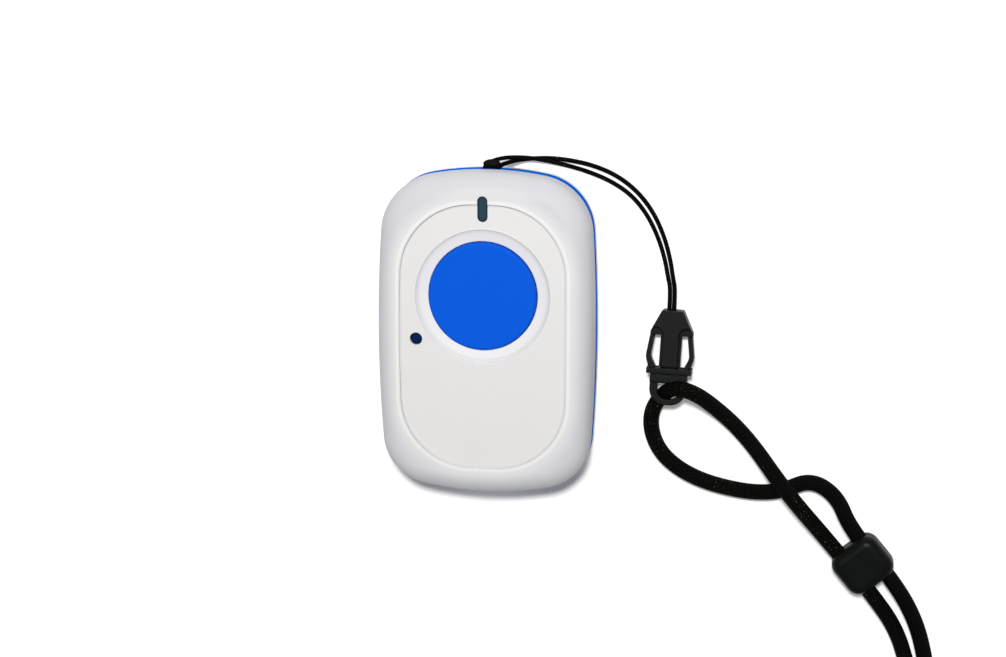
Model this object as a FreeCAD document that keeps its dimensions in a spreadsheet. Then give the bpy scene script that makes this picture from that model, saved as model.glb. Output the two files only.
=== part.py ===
import FreeCAD, Part
import math
import os
import re

import Sketcher

# A help-call pendant with its wrist-thin strap, side-release buckle and neck cord.
# It lies on its back on a table: X to the right, Y towards the strap, Z up out of the face.
# The origin is the middle of the back of the case. All sizes are in millimetres.

os.makedirs("parts", exist_ok=True)
doc = FreeCAD.newDocument("help_pendant")

# Driving dimensions: one named cell each
DIMENSIONS = {
    # case outline, heights of its three layers and wall
    "case_width": 44.2,
    "case_length": 66.6,
    "case_depth": 15.0,
    "side_bow_radius": 344.0,
    "end_bow_radius": 63.0,
    "top_corner_radius": 12.0,
    "bottom_corner_radius": 10.5,
    "back_height": 3.5,
    "frame_height": 2.7,
    "case_wall": 1.8,
    "back_floor": 1.6,
    "front_skin": 1.6,
    "crown_radius": 450.0,
    "crown_cut_height": 5.0,
    "front_edge_round": 4.6,
    "back_edge_round": 2.3,
    "lip_height": 0.8,
    "lip_thick": 0.9,
    "fit_gap": 0.05,
    # sunk face panel
    "panel_border_side": 5.05,
    "panel_border_end": 6.0,
    "panel_corner_radius": 14.5,
    "panel_step": 0.35,
    "shoulder_height": 1.2,
    # help button and the dish around it
    "button_from_top": 24.6,
    "button_radius": 11.0,
    "button_sink": 0.35,
    "button_skin": 1.3,
    "button_gap": 0.15,
    "button_flange_width": 1.3,
    "button_flange_thick": 0.8,
    "plunger_rise": 0.2,
    "plunger_room": 0.6,
    "button_edge_round": 0.45,
    "stem_radius": 1.8,
    "rib_thick": 0.9,
    "dish_radius": 13.75,
    "dish_sink": 1.05,
    "dish_drop": 0.45,
    "dish_lip": 0.3,
    "guide_gap": 0.2,
    "guide_wall": 1.0,
    "guide_depth": 1.8,
    # indicator window and reset button
    "window_width": 2.05,
    "window_length": 5.2,
    "window_from_top": 6.9,
    "window_sink": 0.35,
    "reset_across": 13.6,
    "reset_below_button": 9.15,
    "reset_hole_radius": 1.27,
    "reset_sink": 0.55,
    "reset_gap": 0.1,
    "reset_flange_width": 0.8,
    "reset_flange_drop": 0.5,
    "small_plunger_rise": 0.5,
    "lens_flange": 1.1,
    "lens_flange_thick": 0.8,
    "lamp_gap": 0.3,
    # circuit board and what it carries
    "board_side_gap": 1.15,
    "board_end_gap": 2.55,
    "board_thick": 1.0,
    "board_above_frame": 1.2,
    "board_notch_radius": 3.3,
    "board_corner_radius": 9.0,
    "switch_size": 6.0,
    "plunger_show": 1.1,
    "switch_plunger_radius": 1.7,
    "small_switch_width": 3.0,
    "small_switch_length": 4.0,
    "small_switch_height": 1.5,
    "small_plunger_radius": 0.7,
    "lamp_height": 0.9,
    "chip_size": 7.0,
    "chip_height": 0.9,
    "module_width": 11.0,
    "module_length": 9.0,
    "module_height": 1.8,
    "crystal_length": 3.2,
    "crystal_width": 2.5,
    "crystal_height": 0.8,
    "crystal_from_end": 7.0,
    "aerial_wire": 0.8,
    "aerial_from_side": 5.6,
    "aerial_end_from_side": 12.6,
    "aerial_start": 7.0,
    "aerial_turn_from_end": 14.8,
    "aerial_end_from_end": 8.3,
    "aerial_rise": 2.2,
    "lamp_width": 1.6,
    "lamp_length": 3.2,
    # coin cell under the board
    "cell_radius": 12.25,
    "cell_thick": 5.0,
    "cell_place": 7.5,
    "cradle_wall": 1.2,
    "cradle_gap": 0.25,
    "contact_thick": 0.25,
    "contact_width": 4.0,
    "contact_foot": 2.5,
    "contact_shift": 5.5,
    "cell_step": 0.35,
    # fastenings
    "screw_from_side": 6.9,
    "screw_from_end": 8.8,
    "screw_radius": 0.85,
    "screw_head_radius": 1.6,
    "screw_head_thick": 1.1,
    "screw_length": 8.0,
    "screw_sink": 0.3,
    "screw_grip": 4.8,
    "thread_gap": 0.02,
    "post_radius": 2.8,
    "boss_radius": 2.4,
    "boss_drop": 0.4,
    "standoff_in_board": 1.6,
    "standoff_along": 14.0,
    "standoff_radius": 1.7,
    "board_screw_radius": 0.7,
    "board_screw_length": 3.6,
    "board_screw_head": 1.3,
    "board_screw_head_thick": 0.8,
    # strap slot in the middle frame
    "slot_width": 6.0,
    "slot_height": 1.9,
    "slot_depth": 3.3,
    "slot_wall": 1.3,
    "lip_gap_at_boss": 0.15,
    "strap_bar_radius": 0.6,
    "bar_inset": 1.6,
    "bar_length": 2.4,
    "bar_gap": 0.02,
    "strap_diameter": 0.9,
    "knot_across": 0.5,
    "knot_width": 3.6,
    "knot_thick": 1.8,
    "knot_height": 2.0,
    # side-release buckle, in its own frame: the head's end at 0, the ring towards -Y
    "buckle_across": 37.55,
    "buckle_along": 5.0,
    "buckle_lift": 0.02,
    "buckle_turn": 2.5,
    "buckle_tilt": 6.5,
    "buckle_thick": 4.0,
    "entry_drop": 0.2,
    "head_start": 0.7,
    "head_top_width": 4.3,
    "shoulder_width": 8.7,
    "shoulder_start": 5.2,
    "shoulder_end": 5.9,
    "scoop_radius": 1.45,
    "scoop_along": 5.7,
    "scoop_depth": 1.3,
    "panel_half": 1.65,
    "panel_end": 12.3,
    "web_half": 2.15,
    "web_drop": 0.9,
    "tongue_half": 1.35,
    "tongue_end": 13.6,
    "tongue_thick": 2.4,
    "entry_width": 3.0,
    "entry_height": 1.3,
    "entry_depth": 1.6,
    "arm_gap": 0.15,
    "arm_width": 0.95,
    "arm_bulge": 4.95,
    "arm_middle": 10.3,
    "arm_end": 12.4,
    "arm_foot": 4.3,
    "arm_foot_width": 1.35,
    "arm_curve": 2.5,
    "arm_thick": 2.8,
    "latch_inside": 3.1,
    "latch_width": 0.8,
    "latch_reach": 1.1,
    "socket_gap": 0.12,
    "flange_width": 9.2,
    "flange_start": 12.6,
    "flange_thick": 1.1,
    "flange_height": 4.4,
    "squeeze_room": 0.9,
    "band_width": 7.6,
    "band_length": 1.8,
    "groove_length": 0.4,
    "groove_depth": 0.35,
    "band_height": 3.6,
    "ring_width": 7.6,
    "ring_end": 20.3,
    "ring_bar": 1.6,
    "ring_end_bar": 1.15,
    "ring_round": 3.4,
    "ring_height": 1.6,
    "band_bite": 0.3,
    # neck cord, its coil and the bead that draws its two strands together
    "neck_cord_diameter": 3.25,
    "coil_across": 71.05,
    "coil_along": -93.0,
    "coil_outer_radius": 23.0,
    "coil_gap": 0.05,
    "coil_layers": 2,
    "coil_round": 1.5,
    "coil_turns_wide": 3,
    "bead_width": 11.0,
    "bead_length": 10.0,
    "bead_height": 6.4,
    "bead_bore_spacing": 5.2,
    "bead_bore_gap": 0.05,
    "bead_across": 77.42,
    "bead_along": -47.3,
    "bead_turn": 50.0,
    "bead_round": 2.0,
}

sheet = doc.addObject("Spreadsheet::Sheet", "dimensions")
for row, (alias, number) in enumerate(DIMENSIONS.items(), start=1):
    sheet.set(f"A{row}", alias)
    sheet.set(f"B{row}", str(number))
    sheet.setAlias(f"B{row}", alias)
doc.recompute()

WORD = re.compile(r"[a-z_]{3,}")


def size(alias):
    return float(sheet.get(alias))


def formula(text):
    """The text with each cell's name written as the document's expressions need it."""
    return WORD.sub(lambda word: f"dimensions.{word.group()}", text)


def sum_of(aliases):
    return sum(size(alias) for alias in aliases)


def minus(aliases):
    return "".join(f" - {alias}" for alias in aliases)


def bind(thing, where, text):
    thing.setExpression(where, formula(text))


# Sketches and features


def sketch_on(body, role, name, height="0"):
    plane = next(item for item in body.Origin.OriginFeatures if item.Role == role)
    sketch = body.newObject("Sketcher::SketchObject", name)
    sketch.AttachmentSupport = [(plane, "")]
    sketch.MapMode = "FlatFace"
    bind(sketch, ".AttachmentOffset.Base.z", height)
    return sketch


def pin(sketch, geometry, point, across, along):
    """Hold one point of a sketch at two distances from the origin."""
    for kind, text in (("DistanceX", across), ("DistanceY", along)):
        number = sketch.addConstraint(Sketcher.Constraint(kind, -1, 1, geometry, point, 1.0))
        bind(sketch, f"Constraints[{number}]", text)


def corners_sketch(body, role, name, corners, height="0"):
    """A closed outline of straight lines whose corners are held by formulas."""
    sketch = sketch_on(body, role, name, height)
    count = len(corners)
    guess = [FreeCAD.Vector(math.cos(6.2 * i / count), math.sin(6.2 * i / count), 0) for i in range(count)]
    for i in range(count):
        sketch.addGeometry(Part.LineSegment(guess[i], guess[(i + 1) % count]))
    for i in range(count):
        sketch.addConstraint(Sketcher.Constraint("Coincident", i, 2, (i + 1) % count, 1))
    for i, (across, along) in enumerate(corners):
        pin(sketch, i, 1, across, along)
    return sketch


def circles_sketch(body, role, name, circles, height="0"):
    """Circles given as (across, along, radius) formulas."""
    sketch = sketch_on(body, role, name, height)
    for i, (across, along, radius) in enumerate(circles):
        sketch.addGeometry(Part.Circle(FreeCAD.Vector(i, 1, 0), FreeCAD.Vector(0, 0, 1), 1.0))
        pin(sketch, i, 3, across, along)
        number = sketch.addConstraint(Sketcher.Constraint("Radius", i, 1.0))
        bind(sketch, f"Constraints[{number}]", radius)
    return sketch


def bowed_sketch(body, name, inset, height, borders=((), ())):
    """The case's outline as four shallow arcs: moved in by the insets, made smaller by the borders."""
    inward = sum_of(inset)
    inward_text = " + ".join(inset) if inset else "0"
    half = {"X": size("case_width") / 2 - sum_of(borders[0]), "Y": size("case_length") / 2 - sum_of(borders[1])}
    radius = {"X": size("side_bow_radius"), "Y": size("end_bow_radius")}
    centre = {axis: half[axis] - radius[axis] for axis in "XY"}
    arc_radius = {axis: radius[axis] - inward for axis in "XY"}
    # where a side arc meets an end arc, found by stepping from one arc to the other
    across, along = half["X"] - inward, half["Y"] - inward
    for _ in range(60):
        across = centre["X"] + math.sqrt(arc_radius["X"] ** 2 - along**2)
        along = centre["Y"] + math.sqrt(arc_radius["Y"] ** 2 - across**2)
    side_angle = math.atan2(along, across - centre["X"])
    end_angle = math.atan2(along - centre["Y"], across)
    arcs = (
        ("X", 1, -side_angle, side_angle),
        ("Y", 1, end_angle, math.pi - end_angle),
        ("X", -1, math.pi - side_angle, math.pi + side_angle),
        ("Y", -1, math.pi + end_angle, 2 * math.pi - end_angle),
    )
    sketch = sketch_on(body, "XY_Plane", name, height)
    for axis, sign, start, end in arcs:
        off = sign * centre[axis]
        middle = FreeCAD.Vector(off, 0, 0) if axis == "X" else FreeCAD.Vector(0, off, 0)
        circle = Part.Circle(middle, FreeCAD.Vector(0, 0, 1), arc_radius[axis])
        sketch.addGeometry(Part.ArcOfCircle(circle, start, end))
    for i in range(4):
        sketch.addConstraint(Sketcher.Constraint("Coincident", i, 2, (i + 1) % 4, 1))
    texts = {
        "X": ("case_width / 2 - side_bow_radius" + minus(borders[0]), f"side_bow_radius - ({inward_text})"),
        "Y": ("case_length / 2 - end_bow_radius" + minus(borders[1]), f"end_bow_radius - ({inward_text})"),
    }
    for i, (axis, sign, _, _) in enumerate(arcs):
        place, bend = texts[axis]
        sketch.addConstraint(Sketcher.Constraint("PointOnObject", i, 3, -1 if axis == "X" else -2))
        kind = "DistanceX" if axis == "X" else "DistanceY"
        number = sketch.addConstraint(Sketcher.Constraint(kind, -1, 1, i, 3, sign * centre[axis]))
        bind(sketch, f"Constraints[{number}]", f"{sign} * ({place})")
        number = sketch.addConstraint(Sketcher.Constraint("Radius", i, arc_radius[axis]))
        bind(sketch, f"Constraints[{number}]", bend)
    return sketch


def pad(body, sketch, length):
    feature = body.newObject("PartDesign::Pad", sketch.Name + "_pad")
    feature.Profile = sketch
    bind(feature, "Length", length)
    return feature


def turn(body, sketch, kind="PartDesign::Revolution"):
    feature = body.newObject(kind, sketch.Name + "_turned")
    feature.Profile = sketch
    feature.ReferenceAxis = (sketch, ["V_Axis"])
    feature.Angle = 360.0
    return feature


def named_edges(shape, wanted):
    return [f"Edge{i}" for i, edge in enumerate(shape.Edges, start=1) if wanted(edge)]


def round_edges(body, name, radius, wanted):
    """Fillet the edges of the body so far that the test picks."""
    doc.recompute()
    base = body.Tip
    feature = body.newObject("PartDesign::Fillet", name)
    feature.Base = (base, named_edges(base.Shape, wanted))
    bind(feature, "Radius", radius)
    return feature


def upright(edge):
    return edge.BoundBox.ZLength > 0.2 and edge.BoundBox.XLength < 0.01 and edge.BoundBox.YLength < 0.01


def level_at(height):
    return lambda edge: abs(edge.BoundBox.ZMin - height) < 0.01 and abs(edge.BoundBox.ZMax - height) < 0.01


def new_body(name):
    return doc.addObject("PartDesign::Body", name)


def cut(name, base, tool):
    result = doc.addObject("Part::Cut", name)
    result.Base = base
    result.Tool = tool
    return result


def fuse(name, pieces):
    result = doc.addObject("Part::MultiFuse", name)
    result.Shapes = pieces
    return result


def placed_cylinder(name, radius, height, across, along, bottom):
    piece = doc.addObject("Part::Cylinder", name)
    bind(piece, "Radius", radius)
    bind(piece, "Height", height)
    bind(piece, "Placement.Base.x", across)
    bind(piece, "Placement.Base.y", along)
    bind(piece, "Placement.Base.z", bottom)
    return piece


def placed_box(name, width, length, height, across, along, bottom):
    """A box whose middle stands at (across, along)."""
    piece = doc.addObject("Part::Box", name)
    bind(piece, "Length", width)
    bind(piece, "Width", length)
    bind(piece, "Height", height)
    bind(piece, "Placement.Base.x", f"{across} - ({width}) / 2")
    bind(piece, "Placement.Base.y", f"{along} - ({length}) / 2")
    bind(piece, "Placement.Base.z", bottom)
    return piece


def finished(thing, label):
    thing.Label = label
    FINISHED.append(thing)
    return thing


FINISHED = []
FOUR_CORNERS = ((1, 1), (1, -1), (-1, -1), (-1, 1))
FRAME_TOP = "(back_height + frame_height)"


# Case


def case_layer(name, inset, bottom, height):
    """A slab of the case's own outline, moved in by the insets, with its corners rounded."""
    body = new_body(name)
    pad(body, bowed_sketch(body, name + "_outline", inset, bottom), height)
    for side, sign in (("top", 1), ("bottom", -1)):
        there = lambda edge, sign=sign: upright(edge) and sign * edge.CenterOfMass.y > 0
        round_edges(body, f"{name}_{side}_corners", f"{side}_corner_radius" + minus(inset), there)
    return body


def crowned_layer(name, inset, bottom, top_drop, edge_round):
    """A case layer whose top is a shallow ball and whose upper edge is rounded."""
    body = case_layer(name, inset, bottom, f"case_depth - ({bottom})")
    sketch = sketch_on(body, "XZ_Plane", name + "_crown")
    ball = size("crown_radius") - sum_of(top_drop)
    centre = size("case_depth") - size("crown_radius")
    reach = size("case_length")
    angle = math.asin(reach / ball)
    arc = Part.ArcOfCircle(
        Part.Circle(FreeCAD.Vector(0, centre, 0), FreeCAD.Vector(0, 0, 1), ball), math.pi / 2 - angle, math.pi / 2
    )
    start, end = arc.StartPoint, arc.EndPoint
    outer = FreeCAD.Vector(start.x, end.y + size("crown_cut_height"), 0)
    inner = FreeCAD.Vector(0, end.y + size("crown_cut_height"), 0)
    sketch.addGeometry(arc)
    for a, b in ((end, inner), (inner, outer), (outer, start)):
        sketch.addGeometry(Part.LineSegment(a, b))
    for i in range(4):
        sketch.addConstraint(Sketcher.Constraint("Coincident", i, 2, (i + 1) % 4, 1))
    sketch.addConstraint(Sketcher.Constraint("PointOnObject", 0, 3, -2))
    sketch.addConstraint(Sketcher.Constraint("Vertical", 1))
    sketch.addConstraint(Sketcher.Constraint("Horizontal", 2))
    sketch.addConstraint(Sketcher.Constraint("Vertical", 3))
    sketch.addConstraint(Sketcher.Constraint("PointOnObject", 0, 2, -2))
    number = sketch.addConstraint(Sketcher.Constraint("Radius", 0, ball))
    bind(sketch, f"Constraints[{number}]", "crown_radius" + minus(top_drop))
    number = sketch.addConstraint(Sketcher.Constraint("DistanceY", -1, 1, 0, 3, centre))
    bind(sketch, f"Constraints[{number}]", "case_depth - crown_radius")
    number = sketch.addConstraint(Sketcher.Constraint("DistanceX", -1, 1, 0, 1, reach))
    bind(sketch, f"Constraints[{number}]", "case_length")
    number = sketch.addConstraint(Sketcher.Constraint("DistanceY", 0, 2, 1, 2, size("crown_cut_height")))
    bind(sketch, f"Constraints[{number}]", "crown_cut_height")
    turn(body, sketch, "PartDesign::Groove")
    lowest = size("case_depth") - size("front_edge_round")
    on_top = lambda edge: edge.BoundBox.ZMin > lowest and not upright(edge)
    round_edges(body, name + "_edge", edge_round, on_top)
    return body


def panel_prism():
    """A straight-sided slab with the bows of the case, as wide and long as the sunk panel."""
    body = new_body("panel_prism")
    borders = (("panel_border_side",), ("panel_border_end",))
    pad(body, bowed_sketch(body, "panel_outline", (), "case_depth - 2 * front_skin", borders), "4 * front_skin")
    round_edges(body, "panel_corners", "panel_corner_radius", upright)
    return body


def stadium(name, width, length, height, along, bottom):
    """A prism with half-round ends, its long way along Y."""
    straight = f"({length}) - ({width})"
    pieces = [placed_box(name + "_middle", width, straight, height, "0", along, bottom)]
    for sign, end in (("+", "top"), ("-", "bottom")):
        middle = f"({along}) {sign} ({straight}) / 2"
        pieces.append(placed_cylinder(f"{name}_{end}", f"({width}) / 2", height, "0", middle, bottom))
    return fuse(name, pieces)


def tube_ring(name, inner, outer, height, across, along, bottom):
    """A plain ring standing on its edge height."""
    outside = placed_cylinder(name + "_outside", outer, height, across, along, bottom)
    bore = placed_cylinder(name + "_bore", inner, f"({height}) + 2", across, along, f"({bottom}) - 1")
    return cut(name, outside, bore)


def at_corners(name, radius, height, across, along, bottom):
    """The same cylinder at the four corners of a rectangle."""
    pieces = []
    for i, (x, y) in enumerate(FOUR_CORNERS):
        pieces.append(
            placed_cylinder(f"{name}_{i}", radius, height, f"{x} * ({across})", f"{y} * ({along})", bottom)
        )
    return fuse(name, pieces)


LIP_INSET = ("case_wall", "fit_gap")
CORE_INSET = ("case_wall", "fit_gap", "lip_thick")
CASE_ROOM = "(case_wall + fit_gap + lip_thick)"
SCREW_X = "(case_width / 2 - screw_from_side)"
SCREW_Y = "(case_length / 2 - screw_from_end)"
BUTTON_Y = "(case_length / 2 - button_from_top)"
BUTTON_TOP = "(case_depth - button_sink)"
WINDOW_Y = "(case_length / 2 - window_from_top)"
DISH_FLOOR = "(case_depth - dish_sink)"
DISH_BOTTOM = f"({DISH_FLOOR} - dish_drop)"
UNDER_DISH = f"({DISH_BOTTOM} - front_skin)"
BOARD_WIDTH = f"(case_width - 2 * {CASE_ROOM} - 2 * board_side_gap)"
BOARD_LENGTH = f"(case_length - 2 * {CASE_ROOM} - 2 * board_end_gap)"
BOARD_BOTTOM = f"({FRAME_TOP} + board_above_frame)"
BOARD_TOP = f"({BOARD_BOTTOM} + board_thick)"
CONTACT_FACE = "(cell_radius + cradle_gap + cradle_wall / 2 + contact_thick)"
STANDOFF_X = f"({BOARD_WIDTH} / 2 - standoff_in_board)"
BOSS_WIDTH = "(slot_width + 2 * slot_wall)"
SLOT_MIDDLE = "(back_height + frame_height / 2)"
RESET_X = "-reset_across"
RESET_Y = f"({BUTTON_Y} - reset_below_button)"
PLUNGER_TOP = f"({UNDER_DISH} + plunger_rise)"
SWITCH_HEIGHT = f"({PLUNGER_TOP} - {BOARD_TOP} - plunger_show)"
SMALL_PLUNGER_TOP = f"({BOARD_TOP} + small_switch_height + small_plunger_rise)"
FLANGE_RADIUS = "(button_radius + button_flange_width)"
RESET_SEAT = "(case_depth - front_skin - reset_flange_drop)"
CROWN_AT_RESET = "reset_across * reset_across / (2 * crown_radius)"
CROWN_AT_WINDOW = f"{WINDOW_Y} * {WINDOW_Y} / (2 * crown_radius)"


def slot_boss_clearance(name, bottom, height):
    """Room in a cover's lip for the boss of the strap slot."""
    depth = "(slot_depth + slot_wall + 2 * lip_gap_at_boss)"
    return placed_box(
        name, f"{BOSS_WIDTH} + 2 * lip_gap_at_boss", f"2 * {depth}", height, "0", "case_length / 2", bottom
    )


def front_cover():
    """The white moulded front: crowned shell, sunk panel, dish, window, guides and screw bosses."""
    outside = crowned_layer("cover_outside", (), FRAME_TOP, (), "front_edge_round")
    lip = case_layer("cover_lip", LIP_INSET, f"{FRAME_TOP} - lip_height", "lip_height + shoulder_height / 2")
    backing_height = "front_skin + dish_drop / 2"
    backing = placed_cylinder(
        "dish_backing", "dish_radius + guide_wall", backing_height, "0", BUTTON_Y, UNDER_DISH
    )
    guide_bore = f"{FLANGE_RADIUS} + guide_gap"
    guide = tube_ring(
        "button_guide",
        guide_bore,
        f"{guide_bore} + guide_wall",
        "guide_depth + front_skin / 2",
        "0",
        BUTTON_Y,
        f"{UNDER_DISH} - guide_depth",
    )
    reset_bore = "reset_hole_radius + reset_flange_width + guide_gap"
    reset_guide = tube_ring(
        "reset_guide",
        reset_bore,
        f"{reset_bore} + guide_wall",
        "guide_depth + reset_flange_drop + front_skin / 2",
        RESET_X,
        RESET_Y,
        f"{RESET_SEAT} - guide_depth",
    )
    boss_top = f"case_depth - front_skin - {FRAME_TOP} - fit_gap - boss_drop"
    bosses = at_corners(
        "cover_boss", "boss_radius", boss_top, SCREW_X, SCREW_Y, f"{FRAME_TOP} + fit_gap"
    )
    inside = crowned_layer(
        "cover_inside",
        ("case_wall",),
        f"{FRAME_TOP} + shoulder_height",
        ("front_skin",),
        "front_edge_round - case_wall",
    )
    core = case_layer(
        "cover_core", CORE_INSET, f"{FRAME_TOP} - 2 * lip_height", "2 * lip_height + 2 * shoulder_height"
    )
    shell = cut("cover_shell", fuse("cover_block", [outside, lip]), fuse("cover_hollow", [inside, core]))
    furnished = fuse("cover_furnished", [shell, backing, guide, reset_guide, bosses])

    ball = doc.addObject("Part::Sphere", "panel_ball")
    bind(ball, "Radius", "crown_radius - panel_step")
    bind(ball, "Placement.Base.z", "case_depth - crown_radius")
    panel = cut("panel_sink", panel_prism(), ball)
    dish_body = new_body("dish")
    turn(
        dish_body,
        corners_sketch(
            dish_body,
            "XZ_Plane",
            "dish_profile",
            [
                ("0", DISH_BOTTOM),
                ("button_radius", DISH_BOTTOM),
                ("dish_radius - dish_lip", DISH_FLOOR),
                ("dish_radius", f"{DISH_FLOOR} + dish_lip"),
                ("dish_radius", "case_depth + 1"),
                ("0", "case_depth + 1"),
            ],
        ),
    )
    bind(dish_body, "Placement.Base.y", BUTTON_Y)
    button_hole = placed_cylinder(
        "button_hole", "button_radius + button_gap", "front_skin * 3", "0", BUTTON_Y, f"{UNDER_DISH} - fit_gap"
    )
    window = stadium(
        "window_hole", "window_width", "window_length", "front_skin * 4", WINDOW_Y,
        f"{BUTTON_TOP} - 3 * front_skin",
    )
    reset_hole = placed_cylinder(
        "reset_hole", "reset_hole_radius", "front_skin * 4", RESET_X, RESET_Y, f"{RESET_SEAT} - fit_gap"
    )
    threads = at_corners(
        "cover_thread", "screw_radius + thread_gap", "screw_length - screw_grip + 1", SCREW_X, SCREW_Y,
        FRAME_TOP,
    )
    reset_room = placed_cylinder(
        "reset_room", reset_bore, "guide_depth + 1", RESET_X, RESET_Y, f"{RESET_SEAT} - guide_depth - 1"
    )
    lip_bottom = f"{FRAME_TOP} - 2 * lip_height"
    slot_room = slot_boss_clearance("cover_slot_room", lip_bottom, "2 * lip_height")
    post_room = at_corners(
        "cover_post_room", "post_radius + lip_gap_at_boss", "2 * lip_height", SCREW_X, SCREW_Y, lip_bottom
    )
    rooms = [reset_room, slot_room, post_room]
    openings = fuse("cover_openings", [panel, dish_body, button_hole, window, reset_hole, threads, *rooms])
    return finished(cut("front_cover_solid", furnished, openings), "front_cover")


def middle_frame():
    """The blue band between the covers, with the pocket that the strap goes round its bar in."""
    band = case_layer("band_outside", (), "back_height", "frame_height")
    hollow = case_layer("band_hollow", ("case_wall",), "back_height - 1", "frame_height + 2")
    boss_depth = "(slot_depth + slot_wall - case_wall / 2)"
    boss = placed_box(
        "slot_boss",
        BOSS_WIDTH,
        boss_depth,
        "frame_height",
        "0",
        f"case_length / 2 - case_wall / 2 - {boss_depth} / 2",
        "back_height",
    )
    slot = placed_box(
        "strap_slot", "slot_width", "2 * slot_depth", "slot_height", "0", "case_length / 2",
        f"{SLOT_MIDDLE} - slot_height / 2",
    )
    bore = placed_cylinder(
        "bar_bore", "strap_bar_radius + bar_gap", "bar_length", "0", "case_length / 2 - bar_inset",
        f"{SLOT_MIDDLE} - bar_length / 2",
    )
    ring = fuse("band_with_boss", [cut("band_ring", band, hollow), boss])
    return finished(cut("middle_frame_solid", ring, fuse("band_openings", [slot, bore])), "middle_frame")


def strap_bar():
    bar = placed_cylinder(
        "strap_bar_pin", "strap_bar_radius", "bar_length - 2 * bar_gap", "0", "case_length / 2 - bar_inset",
        f"{SLOT_MIDDLE} - bar_length / 2 + bar_gap",
    )
    return finished(bar, "strap_bar")


def back_cover():
    """The white back: flat floor that it lies on, locating lip, screw posts, board standoffs, cell cradle."""
    tray = case_layer("back_outside", (), "0", "back_height")
    round_edges(tray, "back_edge", "back_edge_round", level_at(0))
    lip = case_layer("back_lip", LIP_INSET, "back_floor", "back_height - back_floor + lip_height")
    core = case_layer("back_core", CORE_INSET, "back_floor", "back_height + 2 * lip_height")
    room = slot_boss_clearance("back_slot_room", "back_height", "2 * lip_height")
    shell = cut("back_shell", fuse("back_block", [tray, lip]), fuse("back_hollow", [core, room]))
    posts = at_corners(
        "post", "post_radius", f"{FRAME_TOP} - back_floor / 2", SCREW_X, SCREW_Y, "back_floor / 2"
    )
    standoffs = at_corners(
        "standoff", "standoff_radius", f"{BOARD_BOTTOM} - back_floor / 2", STANDOFF_X, "standoff_along",
        "back_floor / 2",
    )
    cradle_bore = "(cell_radius + cradle_gap)"
    cradle = tube_ring(
        "cradle", cradle_bore, f"{cradle_bore} + cradle_wall", "cell_thick", "0", "-cell_place", "back_floor / 2"
    )
    gate = placed_box(
        "cradle_gate", "cell_radius * 2", "contact_width + 4 * cradle_gap", "cell_thick * 2", "cell_radius",
        "-cell_place + contact_shift", "back_floor",
    )
    shafts = at_corners(
        "screw_shaft", "screw_radius + fit_gap", "back_height * 3", SCREW_X, SCREW_Y, "-1"
    )
    seats = at_corners(
        "screw_seat", "screw_head_radius + 2 * fit_gap", "screw_sink + screw_head_thick + 1", SCREW_X,
        SCREW_Y, "-1",
    )
    bores = at_corners(
        "standoff_bore", "board_screw_radius + thread_gap", "board_screw_length + 1", STANDOFF_X,
        "standoff_along", f"{BOARD_BOTTOM} - board_screw_length",
    )
    furnished = fuse("back_furnished", [shell, posts, standoffs, cut("cradle_open", cradle, gate)])
    return finished(cut("back_cover_solid", furnished, fuse("back_openings", [shafts, seats, bores])), "back_cover")


def screws(name, label, head_radius, head_thick, radius, length, across, along, seat, up):
    """Four identical screws, their shanks pointing along up (1 or -1) from the seat."""
    head_bottom = f"({seat}) - ({head_thick})" if up > 0 else seat
    shank_bottom = seat if up > 0 else f"({seat}) - ({length})"
    heads = at_corners(name + "_head", head_radius, head_thick, across, along, head_bottom)
    shanks = at_corners(name + "_shank", radius, length, across, along, shank_bottom)
    drive_bottom = f"({seat}) - ({head_thick}) - 1" if up > 0 else f"({seat}) + ({head_thick}) / 2"
    drives = at_corners(
        name + "_drive", f"({head_radius}) / 2", f"1 + ({head_thick}) / 2", across, along, drive_bottom
    )
    return finished(cut(name, fuse(name + "_blank", [heads, shanks]), drives), label)


# Help button


def help_button():
    """The blue cap: turned skirt and flange, hollow inside, with a stem and crossed ribs."""
    body = new_body("help_button_body")
    flange_top = f"{UNDER_DISH} - fit_gap"
    flange_bottom = f"{flange_top} - button_flange_thick"
    ceiling = f"{BUTTON_TOP} - button_skin"
    hollow = "button_radius - button_skin"
    stem_bottom = f"{PLUNGER_TOP} + fit_gap"
    turn(
        body,
        corners_sketch(
            body,
            "XZ_Plane",
            "button_profile",
            [
                ("0", stem_bottom),
                ("stem_radius", stem_bottom),
                ("stem_radius", ceiling),
                (hollow, ceiling),
                (hollow, flange_bottom),
                (FLANGE_RADIUS, flange_bottom),
                (FLANGE_RADIUS, flange_top),
                ("button_radius", flange_top),
                ("button_radius", BUTTON_TOP),
                ("0", BUTTON_TOP),
            ],
        ),
    )
    round_edges(body, "button_rim", "button_edge_round", level_at(size("case_depth") - size("button_sink")))
    rib_sketch = corners_sketch(
        body,
        "XY_Plane",
        "button_rib",
        [
            ("stem_radius * 0.8", "-rib_thick / 2"),
            (f"{hollow} + button_skin / 2", "-rib_thick / 2"),
            (f"{hollow} + button_skin / 2", "rib_thick / 2"),
            ("stem_radius * 0.8", "rib_thick / 2"),
        ],
        f"{ceiling} - rib_thick",
    )
    rib = pad(body, rib_sketch, "rib_thick + button_skin / 2")
    doc.recompute()
    ribs = body.newObject("PartDesign::PolarPattern", "button_ribs")
    ribs.Originals = [rib]
    ribs.Axis = (rib_sketch, ["N_Axis"])
    ribs.Angle = 360
    ribs.Occurrences = 6
    body.Tip = ribs
    bind(body, "Placement.Base.y", BUTTON_Y)
    return finished(body, "help_button")


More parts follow.
